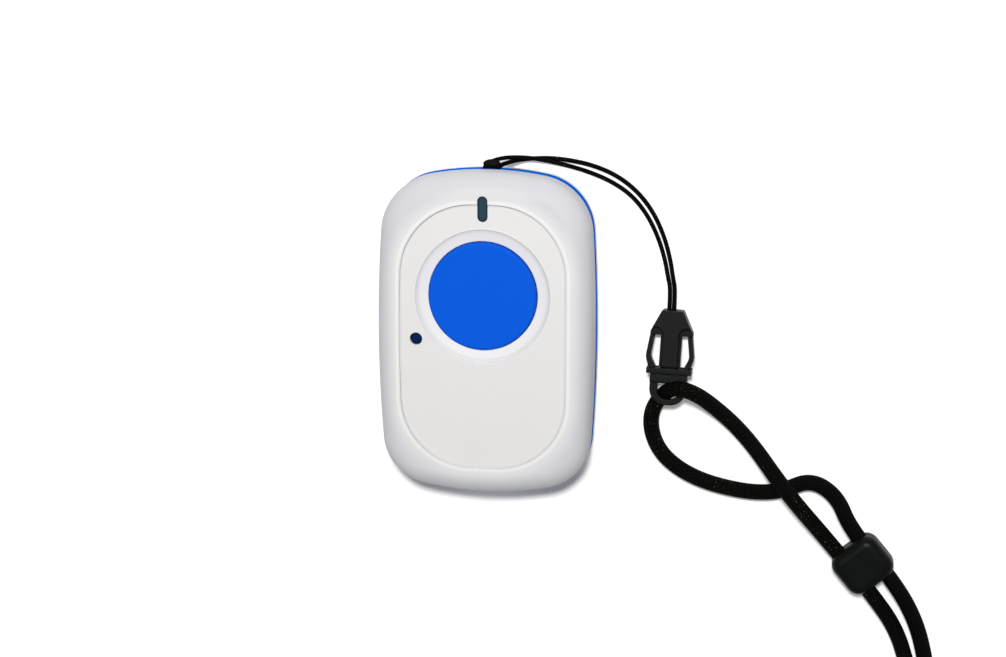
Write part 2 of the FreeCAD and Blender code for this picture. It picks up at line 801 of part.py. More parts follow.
def switch_with_plunger(name, width, length, height, radius, top, across, along):
    """A board switch: a moulded base with a round well, and the plunger that stands in it."""
    base = placed_box(name + "_block", width, length, height, across, along, BOARD_TOP)
    well_bottom = f"{BOARD_TOP} + ({height}) / 3"
    well = placed_cylinder(name + "_well", f"({radius}) + fit_gap", height, across, along, well_bottom)
    plunger_bottom = f"{BOARD_TOP} + ({height}) / 3 + plunger_room"
    plunger = placed_cylinder(
        name + "_plunger_pin", radius, f"({top}) - ({plunger_bottom})", across, along, plunger_bottom
    )
    finished(cut(name + "_base", base, well), name)
    return finished(plunger, name + "_plunger")


# Indicator and reset button


def indicator_lens():
    """The clear window: a light guide from the lamp to the slot in the face, with a flange inside."""
    gap = "2 * fit_gap"
    bottom = f"({BOARD_TOP} + lamp_height + lamp_gap)"
    top = f"case_depth - window_sink - {CROWN_AT_WINDOW}"
    width = f"(window_width - {gap})"
    length = f"(window_length - {gap})"
    guide = stadium("lens_guide", width, length, f"{top} - {bottom}", WINDOW_Y, bottom)
    flange = stadium(
        "lens_flange", f"{width} + lens_flange", f"{length} + lens_flange", "lens_flange_thick", WINDOW_Y,
        f"{UNDER_DISH} - 2 * fit_gap - lens_flange_thick",
    )
    return finished(fuse("indicator_lens_solid", [guide, flange]), "indicator_lens")


def reset_button():
    """The small sunk pin: a turned pin with a flange that keeps it behind the face."""
    body = new_body("reset_button_body")
    pin_radius = "reset_hole_radius - reset_gap"
    flange_radius = "reset_hole_radius + reset_flange_width"
    flange_top = f"{RESET_SEAT} - fit_gap"
    flange_bottom = f"{flange_top} - reset_flange_width"
    bottom = f"{SMALL_PLUNGER_TOP} + fit_gap"
    top = f"case_depth - panel_step - reset_sink - {CROWN_AT_RESET}"
    turn(
        body,
        corners_sketch(
            body,
            "XZ_Plane",
            "reset_profile",
            [
                ("0", bottom),
                (pin_radius, bottom),
                (pin_radius, flange_bottom),
                (flange_radius, flange_bottom),
                (flange_radius, flange_top),
                (pin_radius, flange_top),
                (pin_radius, top),
                ("0", top),
            ],
        ),
    )
    bind(body, "Placement.Base.x", RESET_X)
    bind(body, "Placement.Base.y", RESET_Y)
    return finished(body, "reset_button")


# Circuit board and cell


def circuit_board():
    body = new_body("board_body")
    sketch = corners_sketch(
        body,
        "XY_Plane",
        "board_outline",
        [(f"{x} * {BOARD_WIDTH} / 2", f"{y} * {BOARD_LENGTH} / 2") for x, y in FOUR_CORNERS],
        BOARD_BOTTOM,
    )
    pad(body, sketch, "board_thick")
    round_edges(body, "board_corners", "board_corner_radius", upright)
    notches = at_corners(
        "board_notch", "board_notch_radius", "board_thick + 2", SCREW_X, SCREW_Y, f"{BOARD_BOTTOM} - 1"
    )
    holes = at_corners(
        "board_hole", "board_screw_radius + fit_gap", "board_thick + 2", STANDOFF_X, "standoff_along",
        f"{BOARD_BOTTOM} - 1",
    )
    return finished(cut("circuit_board_solid", body, fuse("board_openings", [notches, holes])), "circuit_board")


def board_component(label, width, length, height, across, along):
    return finished(placed_box(label + "_case", width, length, height, across, along, BOARD_TOP), label)


def coin_cell():
    """A stepped can: the wide cup below and the smaller cap above."""
    body = new_body("cell_body")
    bottom = "back_floor + contact_thick"
    turn(
        body,
        corners_sketch(
            body,
            "XZ_Plane",
            "cell_profile",
            [
                ("0", bottom),
                ("cell_radius", bottom),
                ("cell_radius", f"{bottom} + cell_thick - cell_step"),
                ("cell_radius - 2 * cell_step", f"{bottom} + cell_thick - cell_step"),
                ("cell_radius - 3 * cell_step", f"{bottom} + cell_thick"),
                ("0", f"{bottom} + cell_thick"),
            ],
        ),
    )
    bind(body, "Placement.Base.y", "-cell_place")
    return finished(body, "coin_cell")


def folded_strip(label, corners, middle):
    """A strip of sheet metal: its bent profile across X and Z, as wide as the contact along Y."""
    body = new_body(label + "_body")
    sketch = corners_sketch(body, "XZ_Plane", label + "_profile", corners, "-contact_width / 2")
    pad(body, sketch, "contact_width")
    bind(body, "Placement.Base.y", middle)
    return finished(body, label)


def upper_contact():
    """The strip under the board whose middle dips to press on the cell."""
    touch = "(back_floor + contact_thick + cell_thick)"
    under = f"({BOARD_BOTTOM} - contact_thick)"
    foot, bend, dip = "(cell_radius + contact_foot)", "cell_radius", "contact_width"
    return folded_strip(
        "upper_contact",
        [
            (f"-{dip}", touch),
            (dip, touch),
            (bend, under),
            (foot, under),
            (foot, BOARD_BOTTOM),
            (bend, BOARD_BOTTOM),
            (dip, f"{touch} + contact_thick"),
            (f"-{dip}", f"{touch} + contact_thick"),
            (f"-{bend}", BOARD_BOTTOM),
            (f"-{foot}", BOARD_BOTTOM),
            (f"-{foot}", under),
            (f"-{bend}", under),
        ],
        "-cell_place",
    )


def lower_contact():
    """The flat strip under the cell, turned up at one side to reach the board."""
    reach = f"({CONTACT_FACE} - contact_thick)"
    return folded_strip(
        "lower_contact",
        [
            ("-contact_width", "back_floor"),
            (CONTACT_FACE, "back_floor"),
            (CONTACT_FACE, BOARD_BOTTOM),
            (reach, BOARD_BOTTOM),
            (reach, "back_floor + contact_thick"),
            ("-contact_width", "back_floor + contact_thick"),
        ],
        "-cell_place + contact_shift",
    )


# Cords


def route_edges(points):
    """Straight runs joined by tangent arcs, each arc as large as its two runs allow."""
    share = 0.45
    edges = []
    radii = []
    place = points[0]
    for before, here, after in zip(points, points[1:], points[2:]):
        along_in = (here - before).normalize()
        along_out = (after - here).normalize()
        half_turn = along_in.getAngle(along_out) / 2
        reach = share * min(here.distanceToPoint(before), after.distanceToPoint(here))
        radius = reach / math.tan(half_turn)
        inward = (along_out - along_in).normalize()
        start = here - along_in * reach
        middle = here + inward * (radius / math.cos(half_turn) - radius)
        end = here + along_out * reach
        edges.append(Part.LineSegment(place, start).toShape())
        edges.append(Part.Arc(start, middle, end).toShape())
        radii.append(radius)
        place = end
    edges.append(Part.LineSegment(place, points[-1]).toShape())
    return edges, radii


def tube(label, points, diameter):
    """A round cord along a route, with its bend radii and its volume over section times length."""
    edges, radii = route_edges(points)
    path = Part.Wire(edges)
    section = Part.Wire([Part.Circle(points[0], points[1] - points[0], diameter / 2).toShape()])
    solid = path.makePipeShell([section], True, True)
    expected = math.pi * diameter**2 / 4 * path.Length
    print(
        f"{label}: length {path.Length:.1f}, volume ratio {solid.Volume / expected:.4f}, "
        f"radii {', '.join(f'{radius:.1f}' for radius in radii)}"
    )
    feature = doc.addObject("Part::Feature", label + "_tube")
    feature.Shape = solid
    return finished(feature, label)


def vectors(points):
    return [FreeCAD.Vector(*point) for point in points]


def aerial():
    """A bent wire loop that stands on the board and follows its lower end."""
    foot = sum_of(("back_height", "frame_height", "board_above_frame", "board_thick"))
    top = foot + size("aerial_rise")
    side, end_wall = size("case_width") / 2, -size("case_length") / 2
    wide, narrow = side - size("aerial_from_side"), side - size("aerial_end_from_side")
    start, bend, end = (
        -size("aerial_start"), end_wall + size("aerial_turn_from_end"), end_wall + size("aerial_end_from_end")
    )
    half = [(wide, start, foot), (wide, start, top), (wide, bend, top), (narrow, end, top)]
    mirrored = [(-across, along, height) for across, along, height in reversed(half)]
    return tube("aerial", vectors(half + mirrored), size("aerial_wire"))


def buckle_placement():
    turned = FreeCAD.Rotation(FreeCAD.Vector(0, 0, 1), -size("buckle_turn"))
    tilted = FreeCAD.Rotation(FreeCAD.Vector(1, 0, 0), -size("buckle_tilt"))
    base = FreeCAD.Vector(size("buckle_across"), size("buckle_along"), size("buckle_lift"))
    return FreeCAD.Placement(base, turned.multiply(tilted))


def strap_cord():
    """One thin cord: from the buckle's head, round the bar in the slot, and back to the head."""
    bar_y = size("case_length") / 2 - size("bar_inset")
    slot_z = size("back_height") + size("frame_height") / 2
    side = size("strap_bar_radius") + size("strap_diameter") / 2 + size("fit_gap")
    place = buckle_placement()
    entry = size("head_start") + size("entry_depth")
    height = size("buckle_thick") / 2 - size("entry_drop")
    over = vectors(
        [
            (-0.55, 34.3, slot_z),
            (2.1, 35.3, 4.3),
            (5.2, 35.4, 3.0),
            (8.6, 35.05, 1.75),
            (11.8, 34.4, 1.0),
            (15.6, 33.5, 0.46),
            (19.6, 32.4, 0.46),
            (24.2, 30.6, 0.46),
            (28.4, 27.9, 0.46),
            (31.6, 24.1, 0.46),
            (34.0, 19.4, 0.46),
            (35.5, 14.7, 0.46),
            (36.2, 11.0, 0.7),
        ]
    )
    under = vectors(
        [
            (2.5, 34.05, 4.5),
            (5.0, 34.6, 2.2),
            (8.0, 34.85, 0.7),
            (12.0, 35.0, 0.46),
            (16.2, 34.6, 0.46),
            (20.6, 33.7, 0.46),
            (25.4, 31.8, 0.46),
            (29.7, 28.6, 0.46),
            (33.0, 24.4, 0.46),
            (35.3, 19.4, 0.46),
            (36.6, 14.7, 0.46),
            (37.2, 11.0, 0.7),
        ]
    )
    mouth, behind = bar_y + 1.4, bar_y - side
    bend = vectors([(x, y, slot_z) for x, y in ((-side, mouth), (-side, behind), (side, behind), (side, mouth))])
    left = [place.multVec(FreeCAD.Vector(-0.85, along, height)) for along in (-entry, 3.4)]
    right = [place.multVec(FreeCAD.Vector(0.1, along, height)) for along in (3.4, -entry)]
    return tube("strap_cord", left + over[::-1] + bend + under + right, size("strap_diameter"))


def strap_knot():
    """The small knot that draws the two strands together outside the slot."""
    knot = doc.addObject("Part::Ellipsoid", "strap_knot_ball")
    bind(knot, "Radius1", "knot_height / 2")
    bind(knot, "Radius2", "knot_width / 2")
    bind(knot, "Radius3", "knot_thick / 2")
    knot.Angle1 = -90
    bind(knot, "Placement.Base.x", "knot_across")
    bind(knot, "Placement.Base.y", "case_length / 2 + knot_thick / 2 + fit_gap")
    bind(knot, "Placement.Base.z", SLOT_MIDDLE)
    return finished(knot, "strap_knot")


def neck_cord():
    """The thick cord: coil, bead, under and up through the ring, back over the bead to the coil."""
    under_strand = vectors(
        [
            (92.4, -93.0, 1.65),
            (92.4, -84.6, 1.65),
            (92.0, -76.2, 1.65),
            (90.9, -67.6, 1.65),
            (88.6, -59.4, 1.9),
            (84.23, -51.37, 3.2),
            (74.59, -39.88, 3.2),
            (71.8, -33.5, 2.0),
            (66.3, -30.2, 1.65),
            (60.6, -33.0, 1.65),
            (55.2, -33.6, 1.65),
            (49.6, -32.9, 1.65),
            (44.0, -31.5, 1.65),
            (39.0, -29.1, 1.65),
            (35.1, -25.6, 1.65),
            (33.1, -20.9, 1.65),
            (33.4, -16.2, 1.8),
        ]
    )
    fold = vectors([(36.2, -12.6, 2.6), (38.6, -10.7, 6.0), (43.0, -12.0, 6.0)])
    over_strand = vectors(
        [
            (47.6, -16.6, 2.1),
            (51.2, -20.0, 1.65),
            (54.8, -24.0, 2.1),
            (58.6, -28.5, 4.4),
            (62.9, -33.8, 5.6),
            (70.61, -43.23, 3.2),
            (80.25, -54.72, 3.2),
            (84.9, -62.0, 1.7),
            (87.4, -69.8, 2.0),
            (90.0, -77.6, 4.6),
            (91.9, -85.3, 4.95),
            (92.4, -93.4, 4.95),
        ]
    )
    return tube("neck_cord", under_strand + fold + over_strand, size("neck_cord_diameter"))


def neck_cord_coil():
    """The rest of the neck cord, wound in a flat round coil."""
    body = new_body("coil_body")
    inner = "coil_outer_radius - coil_turns_wide * (neck_cord_diameter + coil_gap)"
    top = "coil_layers * (neck_cord_diameter + coil_gap)"
    corners = [(inner, "0"), ("coil_outer_radius", "0"), ("coil_outer_radius", top), (inner, top)]
    turn(body, corners_sketch(body, "XZ_Plane", "coil_profile", corners))
    round_edges(body, "coil_rounds", "coil_round", lambda edge: edge.BoundBox.ZLength < 0.01)
    bind(body, "Placement.Base.x", "coil_across")
    bind(body, "Placement.Base.y", "coil_along")
    return finished(body, "neck_cord_coil")


def cord_bead():
    """The rounded bead that both strands pass through."""
    body = new_body("bead_body")
    corners = [(f"{x} * bead_length / 2", f"{y} * bead_width / 2") for x, y in FOUR_CORNERS]
    pad(body, corners_sketch(body, "XY_Plane", "bead_outline", corners), "bead_height")
    round_edges(body, "bead_corners", "bead_round * 1.4", upright)
    round_edges(body, "bead_rims", "bead_round", lambda edge: edge.BoundBox.ZLength < 0.01)
    bores = new_body("bead_bores")
    radius = "neck_cord_diameter / 2 + bead_bore_gap"
    circles = [(f"{side} * bead_bore_spacing / 2", "bead_height / 2", radius) for side in (1, -1)]
    sketch = circles_sketch(bores, "YZ_Plane", "bead_circles", circles, "-bead_length / 2 - 1")
    pad(bores, sketch, "bead_length + 2")
    bead = cut("cord_bead_solid", body, bores)
    turned = FreeCAD.Rotation(FreeCAD.Vector(0, 0, 1), -size("bead_turn"))
    bead.Placement = FreeCAD.Placement(FreeCAD.Vector(size("bead_across"), size("bead_along"), 0), turned)
    return finished(bead, "cord_bead")


# Side-release buckle


def outline_body(name, corners, bottom, height):
    body = new_body(name)
    pad(body, corners_sketch(body, "XY_Plane", name + "_outline", corners, bottom), height)
    return body


def mirrored_corners(right_side):
    """The outline whose right half is given from top to bottom."""
    return right_side + [(f"-({across})", along) for across, along in reversed(right_side)]


def buckle_head():
    """The strap's end: tapered head, shoulders, middle panel on its web, and the tongue that enters the socket."""
    head = outline_body(
        "head_block",
        mirrored_corners(
            [
                ("head_top_width / 2", "-head_start"),
                ("shoulder_width / 2", "-shoulder_start"),
                ("shoulder_width / 2", "-shoulder_end"),
                ("panel_half", "-shoulder_end"),
                ("panel_half", "-panel_end"),
            ]
        ),
        "0",
        "buckle_thick",
    )
    at_top = lambda edge: upright(edge) and edge.CenterOfMass.y > -size("head_start") - 0.1
    round_edges(head, "head_top_corners", "arm_width / 2", at_top)
    web = placed_box(
        "head_web", "2 * web_half", "panel_end - shoulder_end + web_drop", "buckle_thick - 2 * web_drop", "0",
        "-(panel_end + shoulder_end - web_drop) / 2", "web_drop",
    )
    tongue = placed_box(
        "tongue", "2 * tongue_half", "tongue_end - shoulder_end", "tongue_thick", "0",
        "-(tongue_end + shoulder_end) / 2", "(buckle_thick - tongue_thick) / 2",
    )
    scoops = [
        placed_cylinder(
            f"scoop_{i}", "scoop_radius", "2 * scoop_depth", f"{side} * (panel_half + scoop_radius)",
            "-scoop_along", "buckle_thick - scoop_depth",
        )
        for i, side in enumerate((1, -1))
    ]
    entry = placed_box(
        "strap_entry", "entry_width", "2 * entry_depth", "entry_height", "0", "-head_start",
        "buckle_thick / 2 - entry_drop - entry_height / 2",
    )
    body = fuse("head_with_tongue", [head, web, tongue])
    solid = cut("buckle_head_solid", body, fuse("head_cuts", [*scoops, entry]))
    solid.Placement = buckle_placement()
    return finished(solid, "buckle_head")


def buckle_arm(label, side):
    """One springy side arm, bowed outwards, with the latch that enters the socket."""
    root = "-(shoulder_end + arm_gap)"
    outer_latch = "latch_inside + latch_width"
    corners = [
        ("shoulder_width / 2", root),
        ("arm_bulge", "-arm_middle"),
        ("arm_foot", "-arm_end"),
        (outer_latch, "-arm_end"),
        (outer_latch, "-(arm_end + latch_reach)"),
        ("latch_inside", "-(arm_end + latch_reach)"),
        ("latch_inside", "-arm_end"),
        ("arm_foot - arm_foot_width", "-arm_end"),
        ("arm_bulge - arm_width", "-arm_middle"),
        ("shoulder_width / 2 - arm_width", root),
    ]
    sided = [(f"{side} * ({across})", along) for across, along in corners]
    body = outline_body(label + "_body", sided, "(buckle_thick - arm_thick) / 2", "arm_thick")
    bulge = lambda edge: upright(edge) and abs(edge.CenterOfMass.y + size("arm_middle")) < 0.1
    round_edges(body, label + "_bow", "arm_curve", bulge)
    body.Placement = buckle_placement()
    return finished(body, label)


def buckle_socket():
    """The cord's end: flange with its three sockets, neck band and the ring that holds the cord."""
    middle_z = "buckle_thick / 2"
    flange = placed_box(
        "flange", "flange_width", "flange_thick", "flange_height", "0", "-flange_start - flange_thick / 2",
        f"{middle_z} - flange_height / 2",
    )
    band = placed_box(
        "band", "band_width", "band_length + flange_thick / 2", "band_height", "0",
        "-flange_start - flange_thick * 3 / 4 - band_length / 2", f"{middle_z} - band_height / 2",
    )
    band_end = "flange_start + flange_thick + band_length"
    ring = outline_body(
        "ring_outside",
        mirrored_corners([("ring_width / 2", f"-({band_end}) + band_bite"), ("ring_width / 2", "-ring_end")]),
        f"{middle_z} - ring_height / 2",
        "ring_height",
    )
    lower_half = lambda edge: upright(edge) and edge.CenterOfMass.y < -size("ring_end") + size("ring_round")
    round_edges(ring, "ring_corners", "ring_round", lower_half)
    hole_half = "ring_width / 2 - ring_bar"
    hole = outline_body(
        "ring_hole",
        mirrored_corners([(hole_half, f"-({band_end}) - band_bite"), (hole_half, "-ring_end + ring_end_bar")]),
        f"{middle_z} - ring_height",
        "2 * ring_height",
    )
    round_edges(hole, "hole_corners", "ring_round - ring_bar", lower_half)
    pocket_depth = "(tongue_end - flange_start + socket_gap)"
    tongue_pocket = placed_box(
        "tongue_pocket", "2 * (tongue_half + socket_gap)", f"2 * {pocket_depth}", "tongue_thick + 2 * socket_gap",
        "0", "-flange_start", f"{middle_z} - tongue_thick / 2 - socket_gap",
    )
    latch_depth = "(arm_end + latch_reach - flange_start + socket_gap)"
    slot_inside = "latch_inside - squeeze_room - socket_gap"
    slot_width = "(latch_width + squeeze_room + 2 * socket_gap)"
    slots = [
        placed_box(
            f"latch_slot_{i}", slot_width, f"2 * {latch_depth}", "arm_thick + 2 * socket_gap",
            f"{side} * ({slot_inside} + {slot_width} / 2)", "-flange_start",
            f"{middle_z} - arm_thick / 2 - socket_gap",
        )
        for i, side in enumerate((1, -1))
    ]
    groove = placed_box(
        "neck_groove", "band_width + 2", "groove_length", "2 * groove_depth", "0",
        "-(flange_start + flange_thick + groove_length / 2)", f"{middle_z} + band_height / 2 - groove_depth",
    )
    body = fuse("socket_block", [flange, band, ring])
    solid = cut("buckle_socket_solid", body, fuse("socket_cuts", [hole, tongue_pocket, groove, *slots]))
    solid.Placement = buckle_placement()
    return finished(solid, "buckle_socket")


# The whole assembly

front_cover()
middle_frame()
back_cover()
strap_bar()
screws(
    "case_screw", "case_screws", "screw_head_radius", "screw_head_thick", "screw_radius", "screw_length",
    SCREW_X, SCREW_Y, "screw_sink + screw_head_thick", 1,
)
help_button()
switch_with_plunger(
    "help_switch", "switch_size", "switch_size", SWITCH_HEIGHT, "switch_plunger_radius", PLUNGER_TOP, "0",
    BUTTON_Y,
)
indicator_lens()
board_component("indicator_lamp", "lamp_width", "lamp_length", "lamp_height", "0", WINDOW_Y)
reset_button()
switch_with_plunger(
    "reset_switch", "small_switch_width", "small_switch_length", "small_switch_height", "small_plunger_radius",
    SMALL_PLUNGER_TOP, RESET_X, RESET_Y,
)
circuit_board()
screws(
    "board_screw", "board_screws", "board_screw_head", "board_screw_head_thick", "board_screw_radius",
    "board_screw_length", STANDOFF_X, "standoff_along", BOARD_TOP, -1,
)
board_component("controller_chip", "chip_size", "chip_size", "chip_height", "-chip_size", "-2 * chip_size")
board_component(
    "radio_module", "module_width", "module_length", "module_height", "module_width / 2 + 1", "-2 * chip_size"
)
board_component(
    "crystal", "crystal_length", "crystal_width", "crystal_height", "-chip_size",
    f"crystal_from_end - {BOARD_LENGTH} / 2",
)
aerial()
coin_cell()
upper_contact()
lower_contact()
strap_cord()
strap_knot()
buckle_head()
buckle_arm("buckle_arm_left", -1)
buckle_arm("buckle_arm_right", 1)
buckle_socket()
neck_cord()
cord_bead()
neck_cord_coil()
doc.recompute()

for thing in doc.Objects:
    if "Invalid" in thing.State or "Error" in thing.State:
        raise RuntimeError(f"{thing.Name} did not build: {thing.State}")
for thing in FINISHED:
    if thing.Shape.isNull() or not thing.Shape.isValid():
        raise RuntimeError(f"{thing.Label} has no valid shape")
for thing in FINISHED:
    thing.Shape.exportStep(f"parts/{thing.Label}.step")
print(len(FINISHED), "pieces written")
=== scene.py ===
# %% [markdown]
# # A help-call pendant on its cord
# This file dresses a small moulded pendant: a white case with a blue band, a round blue
# button, a thin strap, a release buckle and a black braided neck cord. The solid parts come
# from the part's own model, already in place and in metres. We add a camera, the soft cords,
# light and the surface finishes.

# %% Load the parts
import math

import bmesh
import bpy
import numpy as np
from mathutils import Matrix, Vector


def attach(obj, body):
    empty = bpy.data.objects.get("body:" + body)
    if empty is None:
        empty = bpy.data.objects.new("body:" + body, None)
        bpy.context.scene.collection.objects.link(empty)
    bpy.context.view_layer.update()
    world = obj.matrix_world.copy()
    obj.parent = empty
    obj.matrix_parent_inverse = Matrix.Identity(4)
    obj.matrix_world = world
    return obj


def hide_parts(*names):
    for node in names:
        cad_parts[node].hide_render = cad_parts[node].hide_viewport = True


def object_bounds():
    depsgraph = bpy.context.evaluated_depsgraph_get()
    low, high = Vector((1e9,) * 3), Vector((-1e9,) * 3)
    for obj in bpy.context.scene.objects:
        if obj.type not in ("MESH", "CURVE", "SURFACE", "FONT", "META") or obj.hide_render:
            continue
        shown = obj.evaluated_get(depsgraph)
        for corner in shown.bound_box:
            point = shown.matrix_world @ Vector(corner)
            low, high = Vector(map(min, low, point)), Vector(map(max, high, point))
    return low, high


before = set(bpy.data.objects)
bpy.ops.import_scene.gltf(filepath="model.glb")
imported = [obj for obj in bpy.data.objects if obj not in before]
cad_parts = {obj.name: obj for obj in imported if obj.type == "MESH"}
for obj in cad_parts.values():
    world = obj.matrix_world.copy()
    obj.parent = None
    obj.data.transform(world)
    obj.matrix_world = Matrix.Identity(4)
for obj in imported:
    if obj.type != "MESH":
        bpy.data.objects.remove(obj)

MM = 0.001
CASE = "pendant"
part_box = [list(corner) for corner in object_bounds()]
box_in_mm = [[round(v / MM, 1) for v in corner] for corner in part_box]
print("parts:", len(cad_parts), "box in mm:", box_in_mm)

# %% [markdown]
# ## The camera
# The picture was taken with a fairly long lens from almost straight above the face, a little
# from the right and a little from the strap's end. We could place the camera by eye, but the
# outline of the face and of the case give two angles, so we work from those: the camera
# stands half a metre off along that line and looks back at the same point.

# %% Camera
LOOK_AT = Vector((2.03, -1.03, 0)) * MM
LEAN_RIGHT, LEAN_UP = math.radians(8.7), math.radians(12.9)
DISTANCE = 493 * MM
LENS, SENSOR_WIDTH = 85, 36

towards_camera = Vector((math.tan(LEAN_RIGHT), math.tan(LEAN_UP), 1)).normalized()
right = Vector((0, 1, 0)).cross(towards_camera).normalized()
up = towards_camera.cross(right)
camera_data = bpy.data.cameras.new("camera")
camera_data.lens = LENS
camera_data.sensor_width = SENSOR_WIDTH
camera = bpy.data.objects.new("camera", camera_data)
turned = Matrix((right, up, towards_camera)).transposed().to_4x4()
camera.matrix_world = Matrix.Translation(LOOK_AT + towards_camera * DISTANCE) @ turned
bpy.context.collection.objects.link(camera)
bpy.context.scene.camera = camera
print("camera at", [round(v / MM) for v in camera.location], "mm")

# %% [markdown]
# ## The routes of the cords
# A cord is one smooth line with a fixed length. We give its route as a few listed points and
# let a NURBS spline round them off: the spline pulls gently away from each point, as a cord
# does, and never kinks. A bevelled curve would be the quickest tube, but the braid on the
# cord needs to know how far along and how far round it is, so we read the smooth line back
# from the spline and build the tube ourselves.

# %% A smooth line through route points
STEPS_BETWEEN_POINTS = 10


def smooth_line(name, points):
    """The route (in mm) as an evenly drawn smooth line in metres."""
    curve = bpy.data.curves.new(name, "CURVE")
    curve.dimensions = "3D"
    curve.resolution_u = STEPS_BETWEEN_POINTS
    spline = curve.splines.new("NURBS")
    spline.points.add(len(points) - 1)
    for place, point in zip(spline.points, points):
        place.co = (*(v * MM for v in point), 1)
    spline.order_u = 3
    spline.use_endpoint_u = True
    holder = bpy.data.objects.new(name, curve)
    mesh = bpy.data.meshes.new_from_object(holder)
    line = np.array([v.co for v in mesh.vertices])
    bpy.data.objects.remove(holder)
    bpy.data.meshes.remove(mesh)
    return line


def length_of(line):
    return float(np.linalg.norm(np.diff(line, axis=0), axis=1).sum())


print("steps between two route points:", STEPS_BETWEEN_POINTS)

# %% [markdown]
# ### The neck cord
# The cord is a closed loop about as long as a necklace. One strand comes from the coil through
# the bead, crosses under the other strand and goes up through the ring of the buckle. It comes
# back from the ring as the other strand, crosses over the first one and goes through the
# bead's second hole to the coil. We could let a simulation drop the cord on the table, but its
# crossing and its hump at the ring are plain to see, so a few listed points are surer.

# %% Points of the neck cord
CORD = 3.25
UNDER_STRAND = [
    (92.4, -84.6, 1.65), (92.0, -76.2, 1.65), (90.9, -67.6, 1.65), (88.6, -59.4, 1.9),
    (84.23, -51.37, 3.2), (74.59, -39.88, 3.2), (71.8, -33.5, 2.0), (66.3, -30.2, 1.65),
    (60.6, -33.0, 1.65), (55.2, -33.6, 1.65), (49.6, -32.9, 1.65), (44.0, -31.5, 1.65),
    (39.0, -29.1, 1.65), (35.1, -25.6, 1.65), (33.1, -20.9, 1.65), (33.4, -16.2, 1.8),
]
FOLD_AT_RING = [(36.2, -12.6, 2.6), (38.6, -10.7, 6.0), (43.0, -12.0, 6.0)]
OVER_STRAND = [
    (47.6, -16.6, 2.1), (51.2, -20.0, 1.65), (54.8, -24.0, 2.1), (58.6, -28.5, 4.4),
    (62.9, -33.8, 5.6), (70.61, -43.23, 3.2), (80.25, -54.72, 3.2), (84.9, -62.0, 1.7),
    (87.4, -69.8, 2.0), (90.0, -77.6, 4.6), (91.9, -85.3, 4.95),
]
print("points by hand:", len(UNDER_STRAND) + len(FOLD_AT_RING) + len(OVER_STRAND))

# %% [markdown]
# ### The coil
# The length that isn't laid out is wound up in two layers of about three turns, one layer for
# each strand, and the strands join in the middle of the coil in one S. Points by hand would
# never come out round, so a loop places them on circles. The spline cuts each corner of its
# route a little, which is why the points stand slightly outside the turn that we want.

# %% Turns of the coil
COIL_X, COIL_Y = 71.05, -93.0
LOWER_LAYER, UPPER_LAYER = 1.65, 4.95
TURN_RADII = (21.35, 18.05, 14.75)
UPPER_TURNS = 2.5
POINTS_A_TURN = 18
STEP_STARTS, STEP_TAKES = 0.78, 0.22
POINTS_STAND_OUT = 1.009


def coil_turns(height):
    """Three turns, from the outside in, each stepping inwards over its last part."""
    points = []
    for turn, radius in enumerate(TURN_RADII):
        inner = TURN_RADII[min(turn + 1, len(TURN_RADII) - 1)]
        for i in range(POINTS_A_TURN):
            past_start = i - POINTS_A_TURN * STEP_STARTS
            share = max(0.0, past_start / (POINTS_A_TURN * STEP_TAKES))
            r = (radius + (inner - radius) * share) * POINTS_STAND_OUT
            angle = -2 * math.pi * i / POINTS_A_TURN
            points.append((COIL_X + r * math.cos(angle), COIL_Y + r * math.sin(angle), height))
    return points


lower_turns = coil_turns(LOWER_LAYER)
upper_turns = coil_turns(UPPER_LAYER)[: int(POINTS_A_TURN * UPPER_TURNS) + 1]
print("points in the coil:", len(lower_turns) + len(upper_turns))

# %% The S in the middle of the coil
HALF_OF_S = [(0.98, -0.05), (0.86, -0.42), (0.5, -0.56), (0.14, -0.42), (0.0, 0.0)]


def s_through_middle(low, high):
    """The S in the hole of the coil that joins the two layers."""
    reach = TURN_RADII[-1]
    half = [(x * reach, y * reach) for x, y in HALF_OF_S]
    whole = half + [(-x, -y) for x, y in half[-2::-1]]
    rise = [low + (high - low) * i / (len(whole) - 1) for i in range(len(whole))]
    return [(COIL_X + x, COIL_Y + y, z) for (x, y), z in zip(whole, rise)]


s_points = s_through_middle(LOWER_LAYER, UPPER_LAYER)
print("points in the S:", len(s_points))

# %% [markdown]
# ### The whole loop
# A closed loop has to start somewhere. We start and end it inside the bead, where nobody sees
# the two ends meet.

# %% The whole loop
IN_THE_BEAD = (79.41, -45.63, 3.2)
loop = [
    IN_THE_BEAD,
    *UNDER_STRAND[5:],
    *FOLD_AT_RING,
    *OVER_STRAND,
    *upper_turns,
    *s_points[::-1],
    *lower_turns[::-1],
    *UNDER_STRAND[:5],
    IN_THE_BEAD,
]
neck_line = smooth_line("neck_route", loop)
print("neck cord:", round(length_of(neck_line), 3), "m")

# %% [markdown]
# ### The strap
# The strap is a single thin cord. Both its ends go into the head of the buckle. Its middle
# goes round a steel bar in the slot at the top of the case and is drawn tight in a small knot.
# It is one line from end to end, so one list of points draws both its strands.

